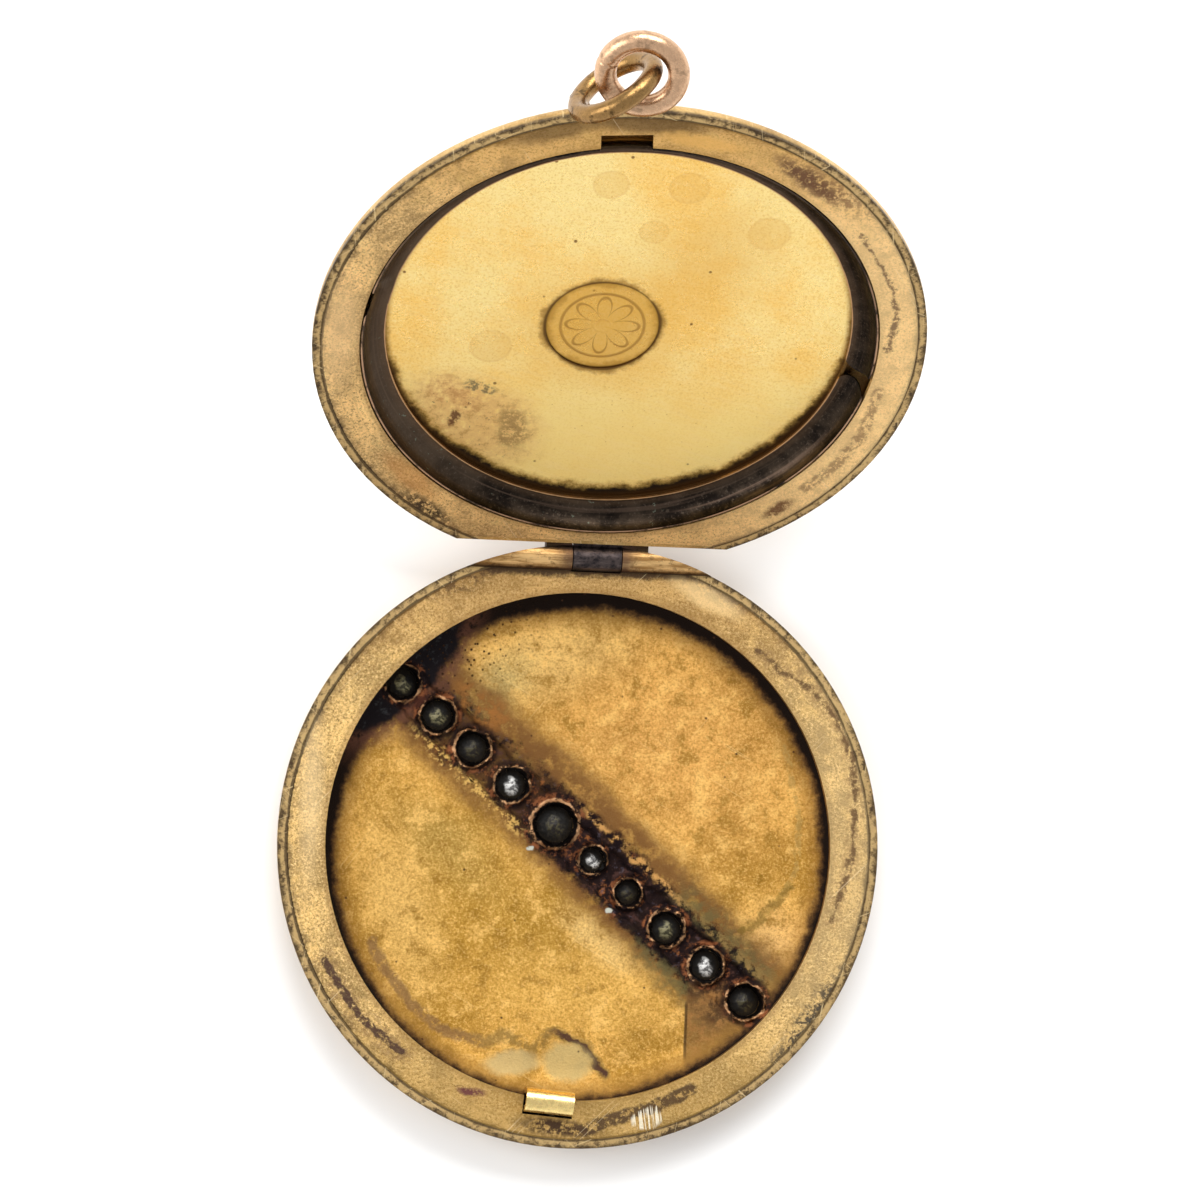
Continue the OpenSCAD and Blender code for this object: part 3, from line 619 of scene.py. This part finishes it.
def case_gold(name, place):
    """The outside of a cover: worn satin gold, brown in the hollows and bright on the edge."""
    s = Shade(name, place, (0.64, 0.40, 0.145), 0.32)
    grain = satin(s, 0.45)
    cloud = s.noise(0.20, 4, 0.55)
    s.colour = s.mix(s.step(cloud, 0.36, 0.64), (0.50, 0.30, 0.10), (0.74, 0.49, 0.20))
    speckle(s, grain, (0.88, 0.64, 0.32), (0.24, 0.13, 0.04), 0.3)
    s.warp(0.5, 0.8)
    dirt = s.noise(0.75, 6, 0.68)
    fleck = s.noise(3.0, 7, 0.76)
    s.coat(s.step(dirt, 0.48, 0.68) * 0.42, (0.21, 0.125, 0.045), 0.42)
    # the lip round the rim
    lip = s.step(s.z.abs(), 0.30, 0.05) * s.step(s.r, 14.3, 14.5)
    s.coat(lip * 0.8, (0.52, 0.36, 0.16), 0.4)
    s.coat(lip * s.step(fleck, 0.50, 0.60) * 0.7, (0.13, 0.082, 0.042), 0.45)
    outer = s.r + (fleck - 0.5) * 0.9 + (dirt - 0.5) * 0.8
    s.coat(lip * s.step(outer, 14.72, 15.02) * 0.85, (0.045, 0.030, 0.020), 0.5)
    s.coat(s.step((s.r - 14.58).abs() + (dirt - 0.5) * 0.25, 0.10, 0.03) * lip * 0.8, (0.035, 0.022, 0.015), 0.5)
    # painted shade: the unseen metal inside, made near black
    s.coat(s.step(s.z.abs(), 1.45, 1.30) * s.step(s.z.abs(), 0.02, 0.08) * s.step(s.r, 13.70, 13.50),
           (0.010, 0.007, 0.005), 0.6)
    for turn in (0.4, -0.7, 1.4):
        s.scratches(turn, (0.88, 0.68, 0.36), 0.5, 13.0, 0.69)
    dents = s.noise(0.35, 3, 0.5)
    s.raise_by(dents * 0.05)
    s.rough = s.rough + (s.noise(1.3, 4) - 0.5) * 0.18
    return s.done()


def polished_gold(name, place, tone, grime_and_shade):
    """Small parts of solid metal, with patches of dirt; on the loop these heavy dark patches are partly painted
    shade.
    """
    s = Shade(name, place, tone, 0.26)
    grain = s.noise(7, 4, 0.7)
    dirt = s.noise(1.4, 6, 0.7)
    s.colour = s.mix(s.step(dirt, 0.38, 0.58), [c * 0.80 for c in tone], tone)
    s.coat(s.step(dirt, 0.52, 0.64) * grime_and_shade, [c * 0.28 for c in tone], 0.42)
    s.coat(s.step(grain, 0.53, 0.66) * 0.30, [min(1, c * 1.35) for c in tone])
    s.coat(s.step(grain, 0.46, 0.34) * 0.35, [c * 0.45 for c in tone])
    s.raise_by(grain * 0.008 + dirt * 0.02)
    s.rough = s.rough + (s.noise(2.2, 3) - 0.5) * 0.2
    return s.done()


def knuckle_gold():
    """Brass of the side knuckles: drawn along the hinge, with painted shade along the barrel's two flanks and dark
    dirt by the middle one.
    """
    s = Shade("knuckle_gold", FRONT, (0.58, 0.36, 0.14), 0.42)
    drawn = s.noise(1.2, 6, 0.7, (0.28, 3.0, 3.0))
    fleck = s.noise(2.6, 6, 0.74)
    s.colour = s.mix(s.step(drawn, 0.40, 0.60), (0.34, 0.185, 0.062), (0.78, 0.50, 0.215))
    s.coat(s.step(fleck, 0.52, 0.62) * 0.55, (0.12, 0.066, 0.030), 0.5)
    # painted shade along the barrel's two flanks, where it turns away into the creases
    s.coat(s.step(s.y + (fleck - 0.5) * 0.5, 13.98, 13.72) * 0.9, (0.040, 0.024, 0.016), 0.5)
    s.coat(s.step(s.y + (fleck - 0.5) * 0.3, 14.62, 14.82) * 0.92, (0.026, 0.017, 0.013), 0.5)
    s.coat(s.step((s.x - 0.34).abs() + (fleck - 0.5) * 1.6, 2.3, 1.3) * 0.75, (0.10, 0.055, 0.040), 0.5)
    s.raise_by(drawn * 0.03 + fleck * 0.02)
    return s.done()


def dark_metal(name, place):
    """Oxidised knuckle: dark grey with small worn glints."""
    s = Shade(name, place, (0.060, 0.050, 0.046), 0.40)
    dirt = s.noise(1.9, 6, 0.72)
    s.colour = s.mix(s.step(dirt, 0.38, 0.62), (0.022, 0.019, 0.021), (0.085, 0.066, 0.062))
    rub = s.noise(1.0, 4, 0.66, (0.4, 4.0, 4.0))
    s.coat(s.step(rub, 0.55, 0.66) * 0.5, (0.22, 0.175, 0.165), 0.35)
    s.raise_by(dirt * 0.03 + s.noise(6, 4, 0.7) * 0.016)
    return s.done()


def paste(i, tone, glint_tint):
    """Old foiled glass seen from behind: near black with lighter crust, and a painted glint at its point."""
    place = ROW @ Matrix.Translation((STONE_AT[i], 0, 0))
    s = Shade(f"paste_{i + 1:02d}", place, (0.006, 0.005, 0.004), 0.60, 0.0)
    crust = s.noise(4.0, 5, 0.72)
    s.coat(s.step(crust, 0.55, 0.66) * 0.5, (0.045, 0.034, 0.026), 0.5)
    s.warp(0.26, 2.4)
    # painted glint: a lighter blot near the stone's point
    glint = s.blot(0.08, -0.04, 0.42 * STONE_R[i], 0.34 * STONE_R[i], 40 * i, 0.35)
    s.coat(glint * 0.9, tone, 0.16)
    s.coat(glint * s.step(crust, 0.46, 0.56), glint_tint, 0.12)
    s.raise_by(crust * 0.06)
    material = s.done()
    shader = next(n for n in material.node_tree.nodes if n.type == "BSDF_PRINCIPLED")
    shader.inputs["Specular IOR Level"].default_value = 0.28
    return material


# ---- Pieces in mesh code ----

def placed(name, data):
    """A new object in the scene."""
    obj = bpy.data.objects.new(name, data)
    bpy.context.scene.collection.objects.link(obj)
    return obj


def polar(r, a, z):
    return r * math.cos(a), r * math.sin(a), z


def piece(name, mesh, body, material, smooth):
    """A new piece from a bmesh already placed in the scene. Edges sharper than smooth degrees stay sharp; 0 is
    flat faces.
    """
    data = bpy.data.meshes.new(name)
    bmesh.ops.recalc_face_normals(mesh, faces=mesh.faces)
    mesh.to_mesh(data)
    mesh.free()
    obj = placed(name, data)
    data.materials.append(material)
    if smooth:
        data.shade_smooth()
        data.set_sharp_from_angle(angle=math.radians(smooth))
    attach(obj, body)
    return obj


def grid_faces(mesh, rows, close_rows=False):
    """Quads between rows of vertices, where each row is closed on itself."""
    width = len(rows[0])
    for i in range(len(rows) if close_rows else len(rows) - 1):
        a, b = rows[i], rows[(i + 1) % len(rows)]
        for j in range(width):
            k = (j + 1) % width
            mesh.faces.new((a[j], a[k], b[k], b[j]))


def wobble(x, y, scale, seed):
    """Smooth noise from about -1 to 1."""
    return noise.noise(Vector((x * scale, y * scale, seed)))


def dish_height(r):
    """Height of the front cover's pressed floor at a radius: flat, then curving up to the wall."""
    if r <= FLOOR_FLAT_R:
        return -FLOOR_DEPTH
    d = min(r - FLOOR_FLAT_R, FLOOR_ARC_R * 0.999)
    return -FLOOR_DEPTH + FLOOR_ARC_R - math.sqrt(FLOOR_ARC_R ** 2 - d ** 2)


def petal(i, angle):
    """How high a burr stands at an angle round hole i, 0 to 1."""
    around = Vector(polar(1, angle, 1.7 * i))
    lobes = abs(math.sin(angle * (2.5 + i % 2) + 2.1 * i + 0.8 * noise.noise(around * 1.3)))
    return (0.35 + 0.65 * lobes ** 0.6) * (0.62 + 0.75 * noise.noise(around * 2.1 + Vector((0, 0, 5))))


def well_height(u, v):
    """Height of the worn floor at a point along and across the stone row."""
    r = math.hypot(u, v + ROW_SIDE)
    base = dish_height(r) + 0.012
    edge = 0.98 + 0.22 * wobble(u, v, 0.9, 3.0) + 0.12 * wobble(u, v, 2.6, 8.0)
    t = min(max((edge + 0.16 - abs(v)) / 0.30, 0), 1)
    ends = min(max((12.25 - abs(u)) / 0.5, 0), 1)
    sink = t * t * (3 - 2 * t) * ends
    z = base - 0.20 * sink
    z += 0.035 * sink * wobble(u, v, 3.1, 1.0) + 0.02 * sink * wobble(u, v, 7.0, 2.0)
    z += 0.012 * wobble(u, v, 0.35, 6.0)
    for i, at in enumerate(STONE_AT):
        away = math.hypot(u - at, v)
        if away > 1.75:
            continue
        angle = math.atan2(v, u - at)
        tall = petal(i, angle)
        crest = HOLE_R[i] + 0.17 + 0.14 * wobble(math.cos(angle), math.sin(angle), 1.9, 3.3 * i)
        width = 0.075 if away < crest else 0.13
        z += 0.55 * tall * math.exp(-((away - crest) / width) ** 2)
    return max(z, base - 0.235)


def well_floor(material):
    """The worn floor round the stones: a thin closed skin, pierced by ten torn holes."""
    fine = np.arange(-WELL_R, WELL_R + 0.01, 0.085)
    across = sorted(set(np.round(np.concatenate([
        np.arange(-2.2, 2.2001, 0.08), np.arange(2.4, 4.4, 0.25), np.arange(4.6, 13.2, 0.55),
        -np.arange(2.4, 4.4, 0.25), -np.arange(4.6, 13.2, 0.55)]), 4)))
    bottom = -1.60
    mesh = bmesh.new()
    kept, down = {}, {}

    def settle(u, v):
        """Pulls a grid point near a hole or the wall onto it."""
        r = math.hypot(u, v + ROW_SIDE)
        if r > WELL_R:
            u, v = u * WELL_R / r, (v + ROW_SIDE) * WELL_R / r - ROW_SIDE
        for i, at in enumerate(STONE_AT):
            du = u - at
            away = math.hypot(du, v)
            if 0 < away < HOLE_R[i] + 0.045:
                angle = math.atan2(v, du)
                hole = HOLE_R[i] + 0.07 * wobble(math.cos(angle), math.sin(angle), 2.2, 7.7 * i)
                return at + du * hole / away, v * hole / away
        return u, v

    def inside(u, v):
        if math.hypot(u, v + ROW_SIDE) > WELL_R - 0.02:
            return False
        return all(math.hypot(u - at, v) > HOLE_R[i] for i, at in enumerate(STONE_AT))

    def corner(a, b, top):
        store = kept if top else down
        if (a, b) not in store:
            u, v = settle(fine[a], across[b])
            r = math.hypot(u, v + ROW_SIDE)
            under = min(bottom, dish_height(r) - 0.2) if r < 12 else dish_height(r) - 0.25
            z = well_height(u, v) if top else under
            store[(a, b)] = mesh.verts.new((u, v, z))
        return store[(a, b)]

    edges = {}
    for a in range(len(fine) - 1):
        for b in range(len(across) - 1):
            u, v = (fine[a] + fine[a + 1]) / 2, (across[b] + across[b + 1]) / 2
            if not inside(u, v):
                continue
            loop = [(a, b), (a + 1, b), (a + 1, b + 1), (a, b + 1)]
            mesh.faces.new([corner(*c, True) for c in loop])
            mesh.faces.new([corner(*c, False) for c in reversed(loop)])
            for k in range(4):
                key = (loop[k], loop[(k + 1) % 4])
                if (key[1], key[0]) in edges:
                    del edges[(key[1], key[0])]
                else:
                    edges[key] = True
    for p, q in edges:
        mesh.faces.new((corner(*q, True), corner(*p, True), corner(*p, False), corner(*q, False)))
    bmesh.ops.remove_doubles(mesh, verts=mesh.verts, dist=0.002)
    mesh.transform(ROW)
    return piece("well_floor", mesh, "front_cover", material, 55)


def cut_stone(i, material):
    """A round cut stone: table outwards, point inwards."""
    r = STONE_R[i]
    rnd = random.Random(40 + i)
    mesh = bmesh.new()
    points = []
    spin = rnd.uniform(0, math.tau)

    def circle(count, radius, depth, turn):
        for k in range(count):
            points.append(polar(radius, math.tau * (k + turn) / count + spin, -depth))

    girdle_in = GIRDLE_DEPTH - 0.06
    deep = r * 0.44
    circle(8, r * 0.56, TABLE_DEPTH, 0.5)
    circle(8, r * 0.80, TABLE_DEPTH - 0.075, 0)
    circle(16, r * 0.995, GIRDLE_DEPTH, 0)
    circle(16, r * 0.995, girdle_in, 0)
    circle(8, r * 0.60, girdle_in - deep * 0.46, 0.5)
    circle(8, r * 0.16, girdle_in - deep * 0.88, 0)
    circle(1, 0, girdle_in - deep, 0)
    for point in points:
        mesh.verts.new(point)
    bmesh.ops.convex_hull(mesh, input=mesh.verts)
    mesh.transform(ROW @ Matrix.Translation((STONE_AT[i], 0, 0)))
    obj = piece(f"cut_stone_{i + 1:02d}", mesh, "front_cover", material, 0)
    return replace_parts(obj, f"paste_stone_{i + 1:02d}")


def setting_beads(material):
    """Small grains raised from the bar's outer face to hold each stone."""
    mesh = bmesh.new()
    face = HALF_DEPTH + BAR_RISE
    for i, at in enumerate(STONE_AT):
        for corner in (45, 135, 225, 315):
            spot = Vector((at, 0, 0)) + Vector(polar(STONE_R[i] + 0.03, math.radians(corner), 0.105 - face))
            made = bmesh.ops.create_icosphere(mesh, subdivisions=2, radius=0.17)
            for vert in made["verts"]:
                vert.co = spot + vert.co * Vector((1, 1, 0.6))
    mesh.transform(ROW)
    return piece("setting_beads", mesh, "front_cover", material, 60)


def cove(r, grow=0.0):
    """Depth of the frame's face, or of its underside when grown, at a radius."""
    share = min(max((r - FRAME_IN) / (FRAME_OUT - FRAME_T - FRAME_IN + grow), 0.0), 1.0)
    return FRAME_TOP + (FRAME_DEEP + grow) * math.sqrt(1 - share ** 2)


def frame_half(name, start, end, node, material, lap=None):
    """One half of the coved picture frame, with round ends. Angles in degrees. lap is where the end that lies over
    the other half begins to lift."""
    mid, half = (FRAME_IN + FRAME_OUT) / 2, (FRAME_OUT - FRAME_IN) / 2
    lead = half / mid

    def limits(angle):
        """Inner and outer radius of the frame at an angle."""
        reach = min(angle - math.radians(start), math.radians(end) - angle) * mid
        share = 1.0
        if reach < half:
            share = max(math.sqrt(max(1 - (1 - reach / half) ** 2, 0.0)), 0.03)
        inner, outer = mid - half * share, mid + half * share
        if lap is not None and angle < math.radians(lap):
            outer = min(outer, LAP_R)
        if abs(angle - BAIL_TURN) < RELIEF:
            outer = min(outer, RELIEF_R)
        return inner, outer

    def outline(angle):
        inner, outer = limits(angle)
        lift = 0.0
        if lap is not None:
            t = min(max((math.radians(lap + 1.2) - angle) / math.radians(2.4), 0.0), 1.0)
            lift = LAP_LIFT * t * t * (3 - 2 * t)
        face_out = min(outer, FRAME_OUT - FRAME_T)
        from_a = math.acos(min((face_out - FRAME_IN) / (FRAME_OUT - FRAME_T - FRAME_IN), 1.0))
        to_a = math.acos(max((inner - FRAME_IN) / (FRAME_OUT - FRAME_T - FRAME_IN), 0.0))
        points = []
        steps = 26
        for k in range(steps + 1):
            a = from_a + (to_a - from_a) * k / steps
            r = FRAME_IN + (FRAME_OUT - FRAME_T - FRAME_IN) * math.cos(a)
            ridge = 0.030 * math.exp(-((r - 11.44) / 0.045) ** 2) + 0.010 * math.exp(-((a - 0.62) / 0.05) ** 2)
            ridge += 0.008 * math.exp(-((a - 0.95) / 0.10) ** 2)
            points.append((r, cove(r) - lift - ridge))
        points.reverse()
        points.append((outer, points[-1][1] if outer > face_out else points[-1][1] + 0.003))
        under = []
        for k in range(7):
            r = outer + (inner - outer) * k / 6
            under.append((r, max(cove(r, FRAME_T) - lift, cove(r) - lift + 0.04)))
        return points + under

    a, b = math.radians(start), math.radians(end)
    ends = [lead * (1 - math.cos(math.pi / 2 * k / 12)) for k in range(1, 12)]
    middle = list(np.linspace(a + lead, b - lead, 170))
    for side in (-1, 1):
        for nudge in (-0.0006, 0.0006):
            at = BAIL_TURN + side * RELIEF + nudge
            if a + lead < at < b - lead:
                middle.append(at)
    angles = [a] + [a + e for e in ends] + sorted(middle) + [b - e for e in reversed(ends)] + [b]
    mesh = bmesh.new()
    rows = [[mesh.verts.new(polar(r, a, d)) for r, d in outline(a)] for a in angles]
    grid_faces(mesh, rows)
    mesh.faces.new(rows[0])
    mesh.faces.new(list(reversed(rows[-1])))
    mesh.transform(BACK)
    obj = piece(name, mesh, "back_cover", material, 38)
    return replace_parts(obj, node)


def jump_ring(material):
    """A ring of wire, a little worn and out of true, with its joint showing as a fine cut."""
    mesh = bmesh.new()
    rows = []
    turns, sides, joint_at = 144, 40, 2.4
    for k in range(turns):
        a = math.tau * k / turns
        off = abs((a - joint_at + math.pi) % math.tau - math.pi) * RING_R
        pinch = 0.045 * math.exp(-(off / 0.05) ** 2)
        row = []
        for j in range(sides):
            b = math.tau * j / sides
            rub = 0.006 * noise.noise(Vector((3 * math.cos(a), 3 * math.sin(a), 2 * math.sin(b))))
            w = RING_WIRE / 2 - pinch - abs(rub) - 0.001
            row.append(mesh.verts.new(polar(RING_R + w * math.cos(b), a, w * math.sin(b))))
        rows.append(row)
    grid_faces(mesh, rows, close_rows=True)
    mesh.transform(AT_BAIL @ Matrix.Translation(RING_AT) @ Matrix.Rotation(math.radians(RING_SWING), 4, "Z")
                   @ Matrix.Rotation(math.radians(RING_LEAN), 4, "Y"))
    obj = piece("jump_ring_wire", mesh, "jump_ring", material, 60)
    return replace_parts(obj, "jump_ring")


def plate_rosette(material):
    """A plain turned rosette in low relief on the sunk mark: two rings and eight petals."""
    mesh = bmesh.new()
    rings, around, radius = 46, 128, 2.3
    floor = PLATE_TOP + MARK_DEEP
    turns = [math.tau * k / around for k in range(around)]

    def relief(r, a):
        z = 0.0
        for at in (2.05, 0.42):
            z += 0.022 * math.exp(-((r - at) / 0.055) ** 2)
        edge = 0.55 + 1.25 * abs(math.cos(4 * a)) ** 0.7
        if 0.5 < r < 1.9:
            z += 0.02 * math.exp(-((r - edge) / 0.06) ** 2)
            z += 0.010 * (1 if r < edge else 0)
        return z + 0.002

    rows = []
    centre = mesh.verts.new((0, 0, floor - 0.012))
    for i in range(1, rings + 1):
        r = radius * i / rings
        rows.append([mesh.verts.new(polar(r, a, floor - relief(r, a))) for a in turns])
    under = [mesh.verts.new(polar(radius, a, floor + 0.03)) for a in turns]
    rows.append(under)
    grid_faces(mesh, rows)
    for k in range(around):
        mesh.faces.new((centre, rows[0][k], rows[0][(k + 1) % around]))
    mesh.faces.new(under)
    mesh.transform(BACK @ Matrix.Translation((MARK_AT[0], MARK_AT[1], 0)))
    return piece("plate_rosette", mesh, "back_cover", material, 50)


# ---- Materials on the carried-over nodes ----

def dress(node, material):
    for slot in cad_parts[node].material_slots:
        slot.material = material


plate_mat = plate_gold()
frame_mat = frame_brown()
knuckle_mat = knuckle_gold()
for node, material in (
        ("front_shell", case_gold("front_case_gold", FRONT)),
        ("back_shell", case_gold("back_case_gold", BACK)),
        ("front_rim", front_rim_gold()),
        ("back_rim", back_rim_gold()),
        ("back_plate", plate_mat),
        ("catch_tongue", polished_gold("tongue_gold", FRONT, (1.0, 0.74, 0.30), 0.25)),
        ("middle_knuckle", dark_metal("dark_metal", BACK)),
        ("hinge_pin", dark_metal("pin_metal", FRONT)),
        ("front_knuckle_left", knuckle_mat),
        ("front_knuckle_right", knuckle_mat),
        # the loop's dark tone and heavy dark patches are partly painted shade, for the dark gaps round the jump
        # ring
        ("bail_loop", polished_gold("loop_metal", BACK, (0.33, 0.19, 0.07), 0.95))):
    dress(node, material)

# each pair: the colour of the painted glint at a stone's point, then a second colour over part of it
OLIVE_GLASS_GLINT = (0.045, 0.040, 0.020), (0.26, 0.23, 0.12)
BRIGHT_GLASS_GLINT = (0.14, 0.135, 0.13), (0.80, 0.79, 0.76)
DARK_GLASS_GLINT = (0.014, 0.010, 0.008), (0.060, 0.050, 0.024)
well_floor(floor_gold())
for i in range(len(STONE_AT)):
    glass = BRIGHT_GLASS_GLINT if i in (3, 5, 8) else DARK_GLASS_GLINT if i in (2, 4, 6, 9) else OLIVE_GLASS_GLINT
    cut_stone(i, paste(i, *glass))
setting_beads(polished_gold("bead_gold", FRONT, (0.70, 0.46, 0.18), 0.7))
frame_half("frame_half_bail", -173.4 - 2.8, 6 + 2.8, "frame_bail_half", frame_mat, lap=-168)
frame_half("frame_half_hinge", 14 - 2.8, 184 + 2.8, "frame_hinge_half", frame_mat)
plate_rosette(plate_mat)
jump_ring(polished_gold("rose_gold", BACK, (0.68, 0.43, 0.26), 0.6))

# ---- Floor, light and camera ----

def stage_floor():
    """A plain white table."""
    a = 1.2
    data = bpy.data.meshes.new("floor")
    data.from_pydata([(-a, -a, 0), (a, -a, 0), (a, a, 0), (-a, a, 0)], [], [(0, 1, 2, 3)])
    material = bpy.data.materials.new("floor_white")
    material.use_nodes = True
    shader = material.node_tree.nodes["Principled BSDF"]
    shader.inputs["Base Color"].default_value = (0.93, 0.93, 0.925, 1)
    shader.inputs["Roughness"].default_value = 0.9
    shader.inputs["Specular IOR Level"].default_value = 0.1
    data.materials.append(material)
    placed("floor", data)


def soft_box(name, at, size, power):
    """A rectangular studio light that faces the locket's middle."""
    lamp = bpy.data.lights.new(name, "AREA")
    lamp.shape = "RECTANGLE"
    lamp.size, lamp.size_y = size
    lamp.energy = power
    obj = placed(name, lamp)
    obj.location = at
    obj.rotation_euler = (Vector((0, -0.006, 0.003)) - Vector(at)).to_track_quat("-Z", "Y").to_euler()


stage_floor()
world = bpy.data.worlds.new("studio")
bpy.context.scene.world = world
world.use_nodes = True
tree = world.node_tree
sky = tree.nodes["Background"]
coord = tree.nodes.new("ShaderNodeTexCoord")
split = tree.nodes.new("ShaderNodeSeparateXYZ")
ramp = tree.nodes.new("ShaderNodeValToRGB")
tree.links.new(coord.outputs["Generated"], split.inputs[0])
tree.links.new(split.outputs[2], ramp.inputs[0])
tree.links.new(ramp.outputs[0], sky.inputs[0])
ramp.color_ramp.elements[0].color = (1.0, 1.0, 1.0, 1)
ramp.color_ramp.elements[1].color = (0.72, 0.72, 0.73, 1)

soft_box("top_box", (0.06, 0.42, 0.40), (0.45, 0.30), 3.0)
soft_box("left_box", (-0.42, 0.05, 0.30), (0.30, 0.40), 1.2)

camera = bpy.data.cameras.new("camera")
camera.lens = 285.2
camera.sensor_width = 36.0
camera.clip_start, camera.clip_end = 0.01, 10.0
shot = placed("camera", camera)
shot.location = (-0.04996, -0.01143, 0.47230)
turn = Vector(math.radians(a) for a in (1.3147, -6.1667, 2.2927))
shot.rotation_mode = "QUATERNION"
shot.rotation_quaternion = Matrix.Rotation(turn.length, 4, turn.normalized()).to_quaternion()
bpy.context.scene.camera = shot
bpy.context.scene.view_settings.view_transform = "Standard"
